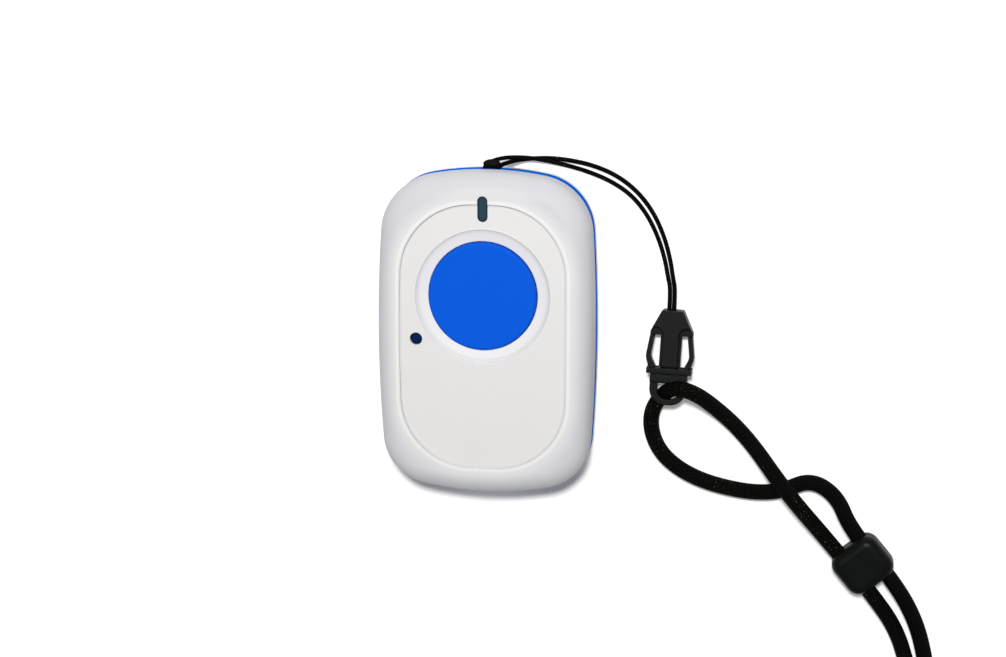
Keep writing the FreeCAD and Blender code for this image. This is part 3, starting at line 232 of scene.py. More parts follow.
# %% Points of the strap
STRAP = 0.9
strap_route = [
    (36.61, 2.96, 2.07), (36.86, 8.62, 1.42), (36.2, 11.0, 0.7), (35.5, 14.7, 0.46),
    (34.0, 19.4, 0.46), (31.6, 24.1, 0.46), (28.4, 27.9, 0.46), (24.2, 30.6, 0.46),
    (19.6, 32.4, 0.46), (15.6, 33.5, 0.46), (11.8, 34.4, 1.0), (8.6, 35.05, 1.75),
    (5.2, 35.4, 3.0), (2.1, 35.3, 4.3), (-0.55, 34.3, 4.85), (-1.1, 33.1, 4.85),
    (-1.1, 30.6, 4.85), (1.1, 30.6, 4.85), (1.1, 33.1, 4.85), (2.5, 34.05, 4.5),
    (5.0, 34.6, 2.2), (8.0, 34.85, 0.7), (12.0, 35.0, 0.46), (16.2, 34.6, 0.46),
    (20.6, 33.7, 0.46), (25.4, 31.8, 0.46), (29.7, 28.6, 0.46), (33.0, 24.4, 0.46),
    (35.3, 19.4, 0.46), (36.6, 14.7, 0.46), (37.2, 11.0, 0.7), (37.81, 8.57, 1.42),
    (37.56, 2.92, 2.07),
]
strap_line = smooth_line("strap_route", strap_route)
print("strap:", round(length_of(strap_line), 3), "m")

# %% [markdown]
# ## Tubes that know their braid
# Each ring of the tube stands square on the line. If we built every ring's frame from the
# world's up direction, the tube would twist where the cord points upwards, so each frame is
# turned from the one before by the smallest turn that fits. The UV map stores millimetres
# along the cord and the share of a turn round it; the braid is drawn from those two numbers.

# %% Frames of the rings
def ring_frames(line):
    """For each point of the line, two directions square to it that never twist."""
    ahead = np.gradient(line, axis=0)
    ahead /= np.linalg.norm(ahead, axis=1)[:, None]
    side = np.cross(ahead[0], (0.0, 0.0, 1.0))
    frames = []
    for direction in ahead:
        side = side - direction * (side @ direction)
        side /= np.linalg.norm(side)
        frames.append((side, np.cross(direction, side)))
    return frames


print("rings on the neck cord:", len(ring_frames(neck_line)))

# %% Tube builder
AROUND_CORD, AROUND_STRAP = 20, 12
BRAID_MAP = "along_and_round"


def tube_mesh(name, line, diameter, around):
    """A closed tube round the line, with its place along and round kept as a UV map."""
    frames = ring_frames(line)
    steps = np.linalg.norm(np.diff(line, axis=0), axis=1)
    along = np.concatenate([[0], np.cumsum(steps)]) / MM
    angles = [2 * math.pi * k / around for k in range(around)]
    mesh_maker = bmesh.new()
    rings = []
    for place, (side, other) in zip(line, frames):
        ring = [place + (side * math.cos(a) + other * math.sin(a)) * diameter / 2 for a in angles]
        rings.append([mesh_maker.verts.new(point) for point in ring])
    uv = mesh_maker.loops.layers.uv.new(BRAID_MAP)
    for i in range(len(rings) - 1):
        for k in range(around):
            n = (k + 1) % around
            four = (rings[i][k], rings[i][n], rings[i + 1][n], rings[i + 1][k])
            face = mesh_maker.faces.new(four)
            face.smooth = True
            corners = ((i, k), (i, k + 1), (i + 1, k + 1), (i + 1, k))
            for corner, (ring_index, step) in zip(face.loops, corners):
                corner[uv].uv = (along[ring_index], step / around)
    for end in (rings[0][::-1], rings[-1]):
        mesh_maker.faces.new(end)
    mesh = bpy.data.meshes.new(name)
    mesh_maker.to_mesh(mesh)
    mesh_maker.free()
    thing = bpy.data.objects.new(name, mesh)
    bpy.context.collection.objects.link(thing)
    return thing


print("sides round the cord and the strap:", AROUND_CORD, AROUND_STRAP)

# %% [markdown]
# ### Both cords, made and placed
# Each tube takes the place of the plain solid cord of the model. Both lie still on the table
# with the case, so they ride on the same body as the case.

# %% Make both cords
neck_cord = tube_mesh("neck_cord_braid", neck_line, CORD * MM, AROUND_CORD)
strap = tube_mesh("strap_braid", strap_line, STRAP * MM, AROUND_STRAP)
for cord, stands_for in ((neck_cord, ("neck_cord", "neck_cord_coil")), (strap, ("strap_cord",))):
    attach(cord, CASE)
    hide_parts(*stands_for)
    print(cord.name, len(cord.data.polygons), "faces")

# %% [markdown]
# ## Making materials from nodes
# Every finish below is a small tree of nodes. We could click them together by hand in the
# shader editor; in a script, three short helpers do the same. One starts an empty material,
# one fills a socket, and one adds a node with its options and sockets in a single line.

# %% Materials, sockets and nodes
def new_material(name):
    """A material with only its output node."""
    material = bpy.data.materials.new(name)
    material.use_nodes = True
    tree = material.node_tree
    tree.nodes.clear()
    output = tree.nodes.new("ShaderNodeOutputMaterial")
    return material, tree, output


def put(tree, socket, value):
    """Give a socket a number, a colour or another node's output."""
    if isinstance(value, bpy.types.NodeSocket):
        tree.links.new(value, socket)
    elif isinstance(value, tuple) and len(value) == 3 and socket.type == "RGBA":
        socket.default_value = (*value, 1)
    else:
        socket.default_value = value


def add(tree, kind, settings=None, **inputs):
    """Add a node; settings are its own options, the rest are its sockets by name."""
    node = tree.nodes.new(kind)
    for name, value in (settings or {}).items():
        setattr(node, name, value)
    for name, value in inputs.items():
        put(tree, node.inputs[name.replace("_", " ")], value)
    return node


print("materials before we start:", len(bpy.data.materials))

# %% [markdown]
# ### Sums in nodes
# A finish changes from place to place, so its numbers are worked out by nodes. These helpers
# write one sum each. The ramp is the one that we use most: it goes smoothly from one value to
# another, so that no border between two finishes is hard.

# %% Sums and ramps
def sums(tree, operation, first, second=0.0, third=None):
    """One sum of numbers."""
    node = add(tree, "ShaderNodeMath", {"operation": operation})
    for socket, value in zip(node.inputs, (first, second, third)):
        if value is not None:
            put(tree, socket, value)
    return node.outputs[0]


def vector_sums(tree, operation, first, second=(0.0, 0.0, 0.0), result=0):
    """One sum of places or directions."""
    node = add(tree, "ShaderNodeVectorMath", {"operation": operation})
    put(tree, node.inputs[0], first)
    put(tree, node.inputs[1], second)
    return node.outputs[result]


def ramp(tree, value, start, end, low=0.0, high=1.0):
    """A value that goes smoothly from low to high while the input goes from start to end."""
    node = add(tree, "ShaderNodeMapRange", {"interpolation_type": "SMOOTHSTEP"})
    limits = {"From Min": start, "From Max": end, "To Min": low, "To Max": high}
    for name, number in limits.items():
        node.inputs[name].default_value = number
    put(tree, node.inputs["Value"], value)
    return node.outputs[0]


print("ready to do sums in nodes")

# %% [markdown]
# ### Where a point lies
# The case is a rounded oblong, and so is its sunk face. A rounded oblong is all that lies
# within one distance of a smaller box, so a single distance tells the inside from the outside.
# The same helper gives the distance from a short line or from a point, as a box of no width.

# %% Distances on the part
MILLIMETRES_PER_METRE = 1 / MM


def in_millimetres(tree, middle=(0.0, 0.0, 0.0)):
    """The place on the part in millimetres from a chosen middle."""
    place = add(tree, "ShaderNodeTexCoord").outputs["Object"]
    scaled = vector_sums(tree, "MULTIPLY", place, (MILLIMETRES_PER_METRE,) * 3)
    return vector_sums(tree, "SUBTRACT", scaled, middle)


def along_axis(tree, axis):
    """One of the three numbers of a place: 0 is across, 1 along and 2 up."""
    return add(tree, "ShaderNodeSeparateXYZ", Vector=in_millimetres(tree)).outputs[axis]


def from_line(tree, middle, half_line):
    """Distance in mm from an upright flat line or box of the given half sizes."""
    outside = vector_sums(tree, "ABSOLUTE", in_millimetres(tree, middle))
    flat = vector_sums(tree, "MULTIPLY", outside, (1.0, 1.0, 0.0))
    beyond = vector_sums(tree, "MAXIMUM", vector_sums(tree, "SUBTRACT", flat, (*half_line, 0.0)))
    return vector_sums(tree, "LENGTH", beyond, result=1)


print("a metre on the part is read as", MILLIMETRES_PER_METRE, "mm")

# %% [markdown]
# ## The table
# The picture has a pure white ground, and a tight dark shadow only where the lower end of the
# case meets it. The table is white paper. A faint glow that only the camera sees lifts it to
# pure white. The glow stays away from the lower end of the case, so that the contact shadow
# stays dark, and grows over the far floor, where the lamps no longer reach. A rounded oblong
# just over the size of the case tells it where to stay away.

# %% Finish of the table
PAPER_WHITE = (0.93, 0.93, 0.93)
FLOOR_GLOW, FAR_GLOW = 0.16, 0.75
LAMPLIGHT_ENDS, FAR_FLOOR = 250.0, 1600.0
CASE_BOX, CASE_ROUND = (11.1, 22.9), 11.0
GLOW_STARTS, GLOW_IS_FULL = 1.0, 5.0
LOWER_END, PAST_LOWER_END = -33.0, -25.0


def glow_on_table(tree):
    """How strongly each place on the table glows."""
    from_case = from_line(tree, (0.0, 0.0, 0.0), CASE_BOX)
    beyond_shadow = ramp(tree, from_case, CASE_ROUND + GLOW_STARTS, CASE_ROUND + GLOW_IS_FULL)
    upper_side = ramp(tree, along_axis(tree, 1), LOWER_END, PAST_LOWER_END)
    near = sums(tree, "MULTIPLY", sums(tree, "MAXIMUM", beyond_shadow, upper_side), FLOOR_GLOW)
    far = ramp(tree, from_case, LAMPLIGHT_ENDS, FAR_FLOOR, 0.0, FAR_GLOW)
    return sums(tree, "ADD", near, far)


def white_table():
    """White paper for the light, and paper with a glow for the camera."""
    material, tree, output = new_material("white_table")
    glow = add(tree, "ShaderNodeEmission", Strength=glow_on_table(tree))
    paper = add(tree, "ShaderNodeBsdfDiffuse", Color=PAPER_WHITE)
    both = add(tree, "ShaderNodeAddShader")
    choice = add(tree, "ShaderNodeMixShader")
    camera_sees = add(tree, "ShaderNodeLightPath").outputs["Is Camera Ray"]
    tree.links.new(paper.outputs[0], both.inputs[0])
    tree.links.new(glow.outputs[0], both.inputs[1])
    for socket, value in zip(choice.inputs, (camera_sees, paper.outputs[0], both.outputs[0])):
        tree.links.new(value, socket)
    tree.links.new(choice.outputs[0], output.inputs[0])
    return material


table_finish = white_table()
print(table_finish.name, "has", len(table_finish.node_tree.nodes), "nodes")

# %% Table
REACH = 3.0
TABLE_DROP = 0.02
corners = [(-REACH, -REACH, 0), (REACH, -REACH, 0), (REACH, REACH, 0), (-REACH, REACH, 0)]
floor_mesh = bpy.data.meshes.new("floor")
floor_mesh.from_pydata(corners, [], [(0, 1, 2, 3)])
floor_mesh.materials.append(table_finish)
floor = bpy.data.objects.new("floor", floor_mesh)
floor.location.z = -TABLE_DROP * MM
bpy.context.collection.objects.link(floor)
print("table", 2 * REACH, "m wide")

# %% [markdown]
# ## The light
# Three round lamps hang a little over a metre up. A soft one above the strap's end gives the
# contact shadow at the lower end of the case. A small one nearly overhead and a weak warm one
# give faint sparks on the ridges of the face. One large lamp would be simpler, but it
# would wash out both. The sky is a dim, even white that fills the shadows, and the camera sees
# it as pure white.

# %% Lamps
def soft_lamp(name, place, size, watts, colour=(1.0, 1.0, 1.0)):
    """A round lamp that looks at the middle of the scene."""
    data = bpy.data.lights.new(name, "AREA")
    data.shape = "DISK"
    data.size = size
    data.energy = watts
    data.color = colour
    lamp = bpy.data.objects.new(name, data)
    lamp.location = place
    lamp.rotation_euler = Vector(place).to_track_quat("Z", "Y").to_euler()
    bpy.context.collection.objects.link(lamp)
    print(name, watts, "W")


WARM = (1.0, 0.72, 0.45)
soft_lamp("lamp_above_strap", place=(0.08, 0.46, 1.08), size=0.17, watts=12.9)
soft_lamp("spark_overhead", place=(-0.13, -0.08, 1.1), size=0.03, watts=0.35)
soft_lamp("warm_spark", place=(-0.2, -0.29, 1.1), size=0.05, watts=0.12, colour=WARM)

# %% Sky
SKY_STRENGTH, SKY_AS_SEEN = 0.2, 1.0
world = bpy.data.worlds.new("studio")
world.use_nodes = True
sky_tree = world.node_tree
sky = sky_tree.nodes["Background"]
camera_sees_sky = add(sky_tree, "ShaderNodeLightPath").outputs["Is Camera Ray"]
sky_light = ramp(sky_tree, camera_sees_sky, 0.0, 1.0, SKY_STRENGTH, SKY_AS_SEEN)
put(sky_tree, sky.inputs["Color"], (1.0, 1.0, 1.0))
put(sky_tree, sky.inputs["Strength"], sky_light)
bpy.context.scene.world = world
bpy.context.scene.view_settings.view_transform = "Standard"
print("sky strength", SKY_STRENGTH)

# %% [markdown]
# ## Grain, gloss and soft edges
# Nearly every piece is either moulded plastic or metal. Real mouldings never have a knife-sharp
# edge, and the edge is where plastic shows its gloss. We could bevel the meshes, but a bevel
# normal rounds the edges in the shading alone and leaves the shapes as they are. On top of
# that comes a very fine grain.

# %% Grain and soft edges
def blend(tree, factor, first, second):
    """A mix of two colours."""
    node = add(tree, "ShaderNodeMix", {"data_type": "RGBA"})
    factor_socket, first_socket, second_socket = node.inputs[0], node.inputs[6], node.inputs[7]
    put(tree, factor_socket, factor)
    put(tree, first_socket, first)
    put(tree, second_socket, second)
    return node.outputs[2]


def noise(tree, grains_per_mm, detail=2.0, stretch=(1.0, 1.0, 1.0)):
    """Soft random grain of a chosen size."""
    place = vector_sums(tree, "MULTIPLY", in_millimetres(tree), stretch)
    node = add(tree, "ShaderNodeTexNoise", Vector=place, Scale=grains_per_mm, Detail=detail)
    return node.outputs["Fac"]


def bump(tree, height, depth_mm, below=None):
    """Shading as if the surface rose by this height, on top of another normal or none."""
    node = add(tree, "ShaderNodeBump", Distance=depth_mm * MM, Height=height)
    if below is not None:
        tree.links.new(below, node.inputs["Normal"])
    return node.outputs[0]


def rounded_edges(tree, radius_mm):
    """Shading as if each edge were rounded to this radius."""
    return add(tree, "ShaderNodeBevel", {"samples": 6}, Radius=radius_mm * MM).outputs[0]


def wear(material, *node_names):
    """Put one finish on one or more solid pieces."""
    for node_name in node_names:
        slots = bpy.data.objects[node_name].data.materials
        slots.clear()
        slots.append(material)
    print(material.name, "on", ", ".join(node_names))


print("ready to give pieces their finish")

# %% [markdown]
# ## The white case
# The case is white moulded plastic. Its sunk face is a warm, bright white with a fine grain.
# The border slopes down and away from it and is painted a duller, faintly lavender white,
# which is painted shade for the dimmer light on its slope. We could split the cover in pieces,
# but one material can tell its places apart by where a point lies: the face is a rounded
# oblong, so its middle box gives a clean border, and a distance from the button gives the dish.

# %% Places on the front cover
FACE_BOX, FACE_ROUND = (2.55, 12.8), 14.5
DISH_MIDDLE, DISH_RADIUS, BUTTON_RADIUS = (0.0, 8.7, 0.0), 13.75, 11.0
INNER_SKIN, OUTER_SKIN = 11.0, 12.0
BORDER_BLUR = 0.1


def places_on_cover(tree):
    """Distance from the face's box, distance from the dish's middle, and the outer skin."""
    from_face = from_line(tree, (0.0, 0.0, 0.0), FACE_BOX)
    from_dish = from_line(tree, DISH_MIDDLE, (0.0, 0.0))
    outside = ramp(tree, along_axis(tree, 2), INNER_SKIN, OUTER_SKIN)
    return from_face, from_dish, outside


def grained_face(tree, from_face, from_dish, outside):
    """One on the sunk face, nothing on the border, in the dish and inside the cover."""
    on_face = ramp(tree, from_face, FACE_ROUND - BORDER_BLUR, FACE_ROUND + BORDER_BLUR, 1.0, 0.0)
    off_dish = ramp(tree, from_dish, DISH_RADIUS - BORDER_BLUR, DISH_RADIUS + BORDER_BLUR)
    return sums(tree, "MULTIPLY", sums(tree, "MULTIPLY", on_face, off_dish), outside)


print("face in mm:", [2 * (half + FACE_ROUND) for half in FACE_BOX])

# %% [markdown]
# ### Painted highlights and shade by the ridges, grooves and the dish
# On the real case a thin bright line runs along the edge of the sunk face and along the edge
# of the dish, with a thin shadow beside it. The model has both steps, but the one round the
# face is only a third of a millimetre deep, and the lamps alone hardly show it. So light and
# shade are painted into the white: a painted highlight, a little paler, along each edge,
# painted shade, a little darker, just inside it, and painted light, a little brighter, in the
# dish, most of all next to the button.

# %% Colour of the front cover
RIM_WHITES_WITH_PAINTED_SHADE = (0.588, 0.59, 0.62), (0.606, 0.608, 0.636)
FACE_WHITES = (0.705, 0.698, 0.695), (0.725, 0.719, 0.715)
DISH_PAINTED_LIGHT_WHITE, PAINTED_HIGHLIGHT_WHITE = (0.765, 0.76, 0.76), (0.785, 0.78, 0.775)
PAINTED_SHADE_WHITE = (0.635, 0.632, 0.635)
SLOPE_WIDTH = 4.0
FACE_HIGHLIGHT_LINE, DISH_HIGHLIGHT_LINE = (0.4, 0.6), (0.0, 0.3)
FACE_SHADE_LINE, DISH_SHADE_LINE = (-0.25, 0.5), (-0.5, 0.45)


def crest(tree, distance, middle, half_width):
    """One at a chosen distance, falling softly to nothing on both sides."""
    off_middle = sums(tree, "ABSOLUTE", sums(tree, "SUBTRACT", distance, middle))
    return ramp(tree, off_middle, 0.0, half_width, 1.0, 0.0)


def two_lines(tree, from_face, from_dish, at_face, at_dish):
    """A soft line by the face's edge and one by the dish's, each with offset and half width."""
    (face_offset, face_half), (dish_offset, dish_half) = at_face, at_dish
    along_face = crest(tree, from_face, FACE_ROUND + face_offset, face_half)
    along_dish = crest(tree, from_dish, DISH_RADIUS + dish_offset, dish_half)
    return sums(tree, "MAXIMUM", along_face, along_dish)


def cover_colour(tree, from_face, from_dish, outside):
    """The whites of the front cover with their painted shade and highlights, laid over each other
    from the widest to the finest.
    """
    cloud = noise(tree, 0.2, 3.0)
    shaded_rim = blend(tree, cloud, *RIM_WHITES_WITH_PAINTED_SHADE)
    face = blend(tree, cloud, *FACE_WHITES)
    # Painted shade: the border's white is darker, for the dimmer light on its slope.
    painted_slope_shade = ramp(tree, from_face, FACE_ROUND, FACE_ROUND + SLOPE_WIDTH)
    # Painted light in the dish, and painted highlights and shade along the face's and the dish's
    # edges.
    painted_dish_light = ramp(tree, from_dish, BUTTON_RADIUS, DISH_RADIUS, 1.0, 0.0)
    painted_highlights = two_lines(tree, from_face, from_dish, FACE_HIGHLIGHT_LINE, DISH_HIGHLIGHT_LINE)
    painted_shade = two_lines(tree, from_face, from_dish, FACE_SHADE_LINE, DISH_SHADE_LINE)
    colour = blend(tree, painted_slope_shade, face, shaded_rim)
    for share, tint in ((painted_dish_light, DISH_PAINTED_LIGHT_WHITE), (painted_highlights, PAINTED_HIGHLIGHT_WHITE), (painted_shade, PAINTED_SHADE_WHITE)):
        colour = blend(tree, sums(tree, "MULTIPLY", share, outside), colour, tint)
    return colour


print("whites on the cover:", len(RIM_WHITES_WITH_PAINTED_SHADE) + len(FACE_WHITES) + 3)

# %% White shell
GRAIN_DEPTH, BORDER_GRAIN, FACE_GRAIN = 0.018, 0.1, 1.0
BORDER_ROUGHNESS, FACE_ROUGHNESS = 0.55, 0.32
COVER_EDGE = 0.3


def white_shell():
    """The front cover's finish: a grained face, and a plainer border and dish."""
    material, tree, output = new_material("white_shell")
    places = places_on_cover(tree)
    on_face = grained_face(tree, *places)
    grain_share = ramp(tree, on_face, 0.0, 1.0, BORDER_GRAIN, FACE_GRAIN)
    grain = sums(tree, "MULTIPLY", noise(tree, 3.5, 4.0), grain_share)
    shader = add(
        tree, "ShaderNodeBsdfPrincipled", Base_Color=cover_colour(tree, *places),
        Normal=bump(tree, grain, GRAIN_DEPTH, rounded_edges(tree, COVER_EDGE)),
        Roughness=ramp(tree, on_face, 0.0, 1.0, BORDER_ROUGHNESS, FACE_ROUGHNESS),
        Specular_IOR_Level=0.24,
    )
    tree.links.new(shader.outputs[0], output.inputs[0])
    return material


wear(white_shell(), "front_cover")

# %% [markdown]
# ## Plain plastics
# All the other mouldings need the same few things: a colour that drifts a little, a gloss that
# isn't quite even, soft edges and a grain. A flat colour would look like paint on a screen, so
# one function makes such a plastic from its colour and its roughness.

# %% A plain plastic
def glossy_solid(name, colour, roughness, normal_height, depth, edge, **more):
    """One Principled surface with rounded edges and a bump."""
    material, tree, output = new_material(name)
    shader = add(
        tree, "ShaderNodeBsdfPrincipled", Base_Color=colour(tree), Roughness=roughness(tree),
    )
    for socket_name, value in more.items():
        put(tree, shader.inputs[socket_name.replace("_", " ")], value)
    normal = bump(tree, normal_height(tree), depth, rounded_edges(tree, edge))
    put(tree, shader.inputs["Normal"], normal)
    tree.links.new(shader.outputs[0], output.inputs[0])
    return material


def cloudy(colour, spread, grains=0.25):
    """A colour that drifts a little darker in soft clouds."""
    darker = tuple(c * (1 - spread) for c in colour)
    return lambda tree: blend(tree, noise(tree, grains, 3.0), darker, colour)


def about(value, spread=0.1, grains=0.4):
    """A number that drifts a little up and down in soft clouds."""
    low, high = value * (1 - spread), value * (1 + spread)
    return lambda tree: ramp(tree, noise(tree, grains, 3.0), 0.3, 0.7, low, high)


def plastic(name, colour, roughness, depth=0.004, grain=6.0, edge=0.15, specular=0.3):
    """Moulded plastic of one colour."""
    return glossy_solid(
        name, cloudy(colour, 0.06), about(roughness), lambda tree: noise(tree, grain), depth, edge,
        Specular_IOR_Level=specular,
    )


wear(plastic("white_back", (0.7, 0.7, 0.715), 0.35, depth=0.008, grain=3.0), "back_cover")

# %% [markdown]
# ## Blue band and help button
# Both are moulded in a deep blue. The button has a fine grain so that a finger doesn't slip.
# On a white table a shiny blue would soon go pale with what it mirrors, so the band has no
# gloss at all and the button hardly any.

# %% Blues
band_blue = plastic("blue_band", (0.0, 0.15, 0.78), 0.4, specular=0.0)
button_blue = plastic(
    "button_blue", (0.001, 0.098, 0.68), 0.55, depth=0.008, grain=5.0, edge=0.2, specular=0.05,
)
wear(band_blue, "middle_frame")
wear(button_blue, "help_button")

# %% [markdown]
# ## Window and reset pin
# The window is a smoky clear plastic over a dark inside. A clear block would need a lit lamp
# behind it; a smooth dark surface looks the same while the lamp is off. Its darker border is
# painted shade, where the wall of its hole shades it. The pin of the reset button is dark blue
# and gets the same painted shade at its border.

# %% Dark little parts
WINDOW_MIDDLE, WINDOW_LINE, WINDOW_HALF = (0.0, 26.4, 0.0), (0.0, 1.575), 0.975
PIN_MIDDLE, PIN_LINE, PIN_HALF = (-13.6, -0.45, 0.0), (0.0, 0.0), 1.17
SHADE_STARTS, SHADE_ENDS = 0.62, 0.98


def painted_shade_border(name, middle, line, half, colour, shade_colour, roughness):
    """Smooth dark plastic with painted shade that grows darker towards its border."""
    def colours(tree):
        distance = from_line(tree, middle, line)
        # Painted shade: darker towards the border, where the wall of the hole shades the part.
        share = ramp(tree, distance, half * SHADE_STARTS, half * SHADE_ENDS)
        return blend(tree, share, colour, shade_colour)

    def grain(tree):
        return noise(tree, 2.0)

    return glossy_solid(
        name, colours, about(roughness), grain, 0.003, 0.08, Specular_IOR_Level=0.05,
    )


smoked_window = painted_shade_border(
    "smoked_window", WINDOW_MIDDLE, WINDOW_LINE, WINDOW_HALF,
    colour=(0.02, 0.051, 0.073), shade_colour=(0.004, 0.007, 0.02), roughness=0.2,
)
navy_pin = painted_shade_border(
    "navy_pin", PIN_MIDDLE, PIN_LINE, PIN_HALF,
    colour=(0.0, 0.0125, 0.076), shade_colour=(0.0, 0.0025, 0.018), roughness=0.45,
)
wear(smoked_window, "indicator_lens")
wear(navy_pin, "reset_button")

# %% [markdown]
# ## Buckle
# The buckle is charcoal acetal. It is a soft, slightly greasy plastic, so it is nearly black with
# a weak, wide shine along the edges. The bead on the neck cord is made of the same.

# %% Charcoal
charcoal = plastic(
    "charcoal_buckle", (0.004, 0.0052, 0.0045), 0.38,
    depth=0.01, grain=4.0, edge=0.3, specular=0.09,
)
wear(charcoal, "buckle_head", "buckle_arm_left", "buckle_arm_right", "buckle_socket", "cord_bead")

# %% [markdown]
# ## Braided cord
# A braid is two sets of threads that wind round the cord in opposite directions and pass over
# and under each other. With a UV map in millimetres along and turns round, each set is a run of
# slanted stripes: along times a number plus round times a number. Where the two sets cross, we
# take the higher of the two. The blacker gaps between the threads are painted shade. Here and
# there a small cluster of threads gets a painted olive glint, a highlight painted into the colour.

# %% Braid
GAP_SHADE_BLACK, THREAD_BLACK = (0.0004, 0.0004, 0.0005), (0.0026, 0.0028, 0.0022)
PAINTED_GLINT_OLIVE = (0.12, 0.16, 0.045)
THREAD_STARTS, THREAD_TOP = 0.6, 0.98
CLUSTER_STARTS, CLUSTER_IS_FULL = 0.52, 0.66
GLINT_BLUR = 0.03


def slanted(tree, along, turns, per_mm, threads):
    """Rounded stripes that wind round the cord; a negative number winds them the other way."""
    run = sums(tree, "MULTIPLY_ADD", along, per_mm, sums(tree, "MULTIPLY", turns, float(threads)))
    return sums(tree, "ABSOLUTE", sums(tree, "SINE", sums(tree, "MULTIPLY", run, math.pi)))


def thread_colour(tree, height, glint_from):
    """Black threads over gaps painted blacker as shade, with a few painted olive glints in
    clusters.
    """
    on_thread = ramp(tree, height, THREAD_STARTS, THREAD_TOP)
    in_cluster = ramp(tree, noise(tree, 0.16, 1.0), CLUSTER_STARTS, CLUSTER_IS_FULL)
    glint = ramp(tree, noise(tree, 2.6, 1.0), glint_from, glint_from + GLINT_BLUR)
    # Painted highlight: olive glints in the colour. The gaps' blacker colour is painted shade
    # between the threads.
    painted_glint_share = sums(tree, "MULTIPLY", sums(tree, "MULTIPLY", glint, on_thread), in_cluster)
    return blend(tree, painted_glint_share, blend(tree, on_thread, GAP_SHADE_BLACK, THREAD_BLACK), PAINTED_GLINT_OLIVE)


def braid(name, per_mm, threads, depth, glint_from):
    """A black braid, drawn from the UV map of its tube."""
    material, tree, output = new_material(name)
    map_place = add(tree, "ShaderNodeUVMap", {"uv_map": BRAID_MAP}).outputs[0]
    along, turns = add(tree, "ShaderNodeSeparateXYZ", Vector=map_place).outputs[:2]
    one_way = slanted(tree, along, turns, per_mm, threads)
    other_way = slanted(tree, along, turns, per_mm, -threads)
    height = sums(tree, "MAXIMUM", one_way, other_way)
    uneven = sums(tree, "MULTIPLY_ADD", noise(tree, 9.0, 3.0), 0.5, height)
    shader = add(
        tree, "ShaderNodeBsdfPrincipled", Base_Color=thread_colour(tree, height, glint_from),
        Roughness=0.8, Specular_IOR_Level=0.05, Normal=bump(tree, uneven, depth),
    )
    tree.links.new(shader.outputs[0], output.inputs[0])
    return material


neck_braid = braid("neck_cord_threads", per_mm=0.5, threads=14, depth=0.16, glint_from=0.68)
thin_braid = braid("strap_threads", per_mm=1.4, threads=3, depth=0.12, glint_from=0.7)
wear(neck_braid, "neck_cord_braid")
wear(thin_braid, "strap_braid")

# %% [markdown]
# ### The knot
# The knot is the same thread as the strap, pulled tight. Its turns are too small to follow one
# by one, so it gets the thread's black with a coarse, deep grain.

# %% Knot
knot_thread = plastic(
    "knot_thread", (0.0018, 0.002, 0.0018), 0.7, depth=0.06, grain=3.0, specular=0.1,
)
wear(knot_thread, "strap_knot")

# %% [markdown]
# ## Inside the case
# Nothing inside shows in the picture, but each piece still gets what such a piece has. The
# circuit board is green lacquer over copper tracks. An image of tracks would need a file, so
# two sets of thin lines stand in for them, one set in each patch of the board.

# %% Circuit board
TRACK_PITCH = 1.27
TRACK_HALF, TRACK_FADES = 0.12, 0.16
LACQUER, LACQUER_ON_TRACK = (0.004, 0.07, 0.025), (0.012, 0.13, 0.045)


def tracks(tree):
    """One on a track and nothing between: lines one way in some patches, else the other."""
    lines = []
    for axis in (0, 1):
        row = sums(tree, "FRACT", sums(tree, "DIVIDE", along_axis(tree, axis), TRACK_PITCH))
        off_middle = sums(tree, "ABSOLUTE", sums(tree, "SUBTRACT", row, 0.5))
        lines.append(ramp(tree, off_middle, TRACK_HALF, TRACK_FADES, 1.0, 0.0))
    patch = ramp(tree, noise(tree, 0.18, 0.0), 0.48, 0.52)
    one_way = sums(tree, "MULTIPLY", lines[0], patch)
    other_way = sums(tree, "MULTIPLY", lines[1], sums(tree, "SUBTRACT", 1.0, patch))
    return sums(tree, "ADD", one_way, other_way)


def solder_mask():
    """Green lacquer that stands a little higher over the copper tracks."""
    def colours(tree):
        return blend(tree, tracks(tree), LACQUER, LACQUER_ON_TRACK)

    return glossy_solid("solder_mask", colours, about(0.3), tracks, 0.03, 0.05)


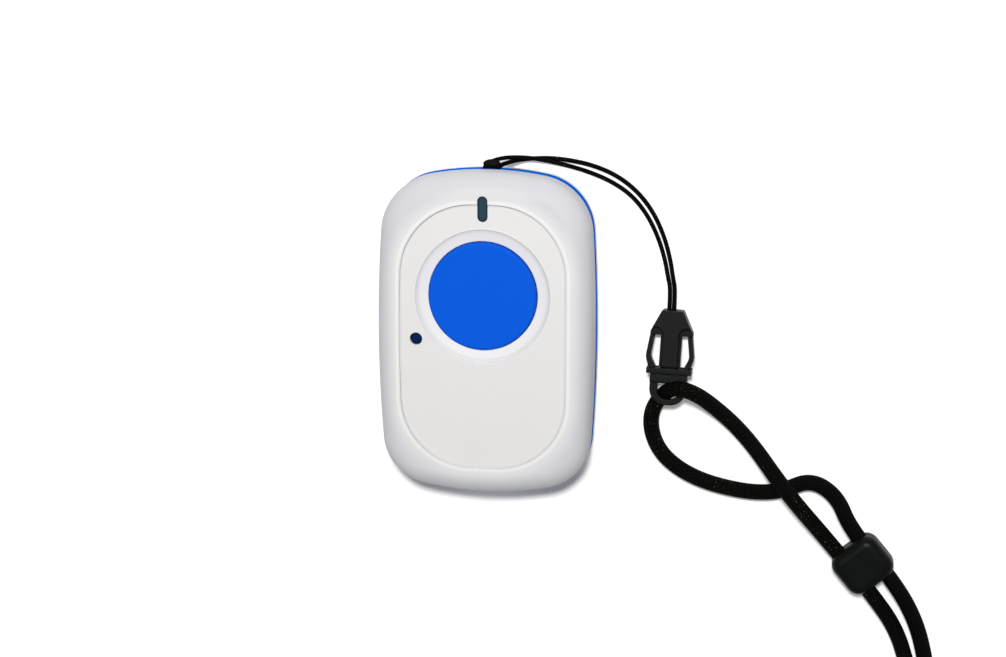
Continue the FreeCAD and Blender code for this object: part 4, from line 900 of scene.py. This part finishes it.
wear(solder_mask(), "circuit_board")

# %% [markdown]
# ### Switches, chip and lamp
# The chip and the switches are moulded packages with crisper edges than the case, the plungers
# are pale plastic and the lamp is a yellowish lens. The plain plastic from above does for all.

# %% Packages
PACKAGE_EDGE = 0.1
black_package = plastic("black_package", (0.012, 0.012, 0.013), 0.5, edge=PACKAGE_EDGE)
pale_plunger = plastic("switch_plunger", (0.5, 0.48, 0.44), 0.4, edge=PACKAGE_EDGE)
lamp_lens = plastic("lamp_lens", (0.72, 0.7, 0.5), 0.2, edge=PACKAGE_EDGE)
wear(black_package, "controller_chip", "help_switch", "reset_switch")
wear(pale_plunger, "help_switch_plunger", "reset_switch_plunger")
wear(lamp_lens, "indicator_lamp")

# %% [markdown]
# ### Metals
# Cans, springs, screws and wire are all bare metal, and metal is known by its fine drawn or
# turned lines. A perfectly smooth metal would look like a mirror, so we stretch the grain
# into lines that follow the way each piece was made.

# %% Metals
def metal(name, colour, roughness, stretch=(1.0, 1.0, 1.0), edge=0.08):
    """Metal with fine drawn or rolled lines along the least stretched direction."""
    def drawn_lines(tree):
        return noise(tree, 4.0, 4.0, stretch)

    return glossy_solid(
        name, cloudy(colour, 0.1), about(roughness, 0.25), drawn_lines, 0.002, edge, Metallic=1.0,
    )


tinned_can = metal("tinned_can", (0.72, 0.72, 0.7), 0.32, (1.0, 0.1, 1.0))
cell_steel = metal("cell_steel", (0.66, 0.66, 0.65), 0.25, (0.1, 1.0, 1.0))
nickel_strip = metal("nickel_strip", (0.68, 0.65, 0.58), 0.28, (0.05, 1.0, 1.0))
screw_steel = metal("screw_steel", (0.55, 0.56, 0.58), 0.3, (1.0, 1.0, 0.1))
copper_wire = metal("copper_wire", (0.72, 0.35, 0.2), 0.3, (0.1, 0.1, 1.0), edge=0.05)
wear(tinned_can, "radio_module", "crystal")
wear(cell_steel, "coin_cell")
wear(nickel_strip, "upper_contact", "lower_contact")
wear(screw_steel, "case_screws", "board_screws", "strap_bar")
wear(copper_wire, "aerial")
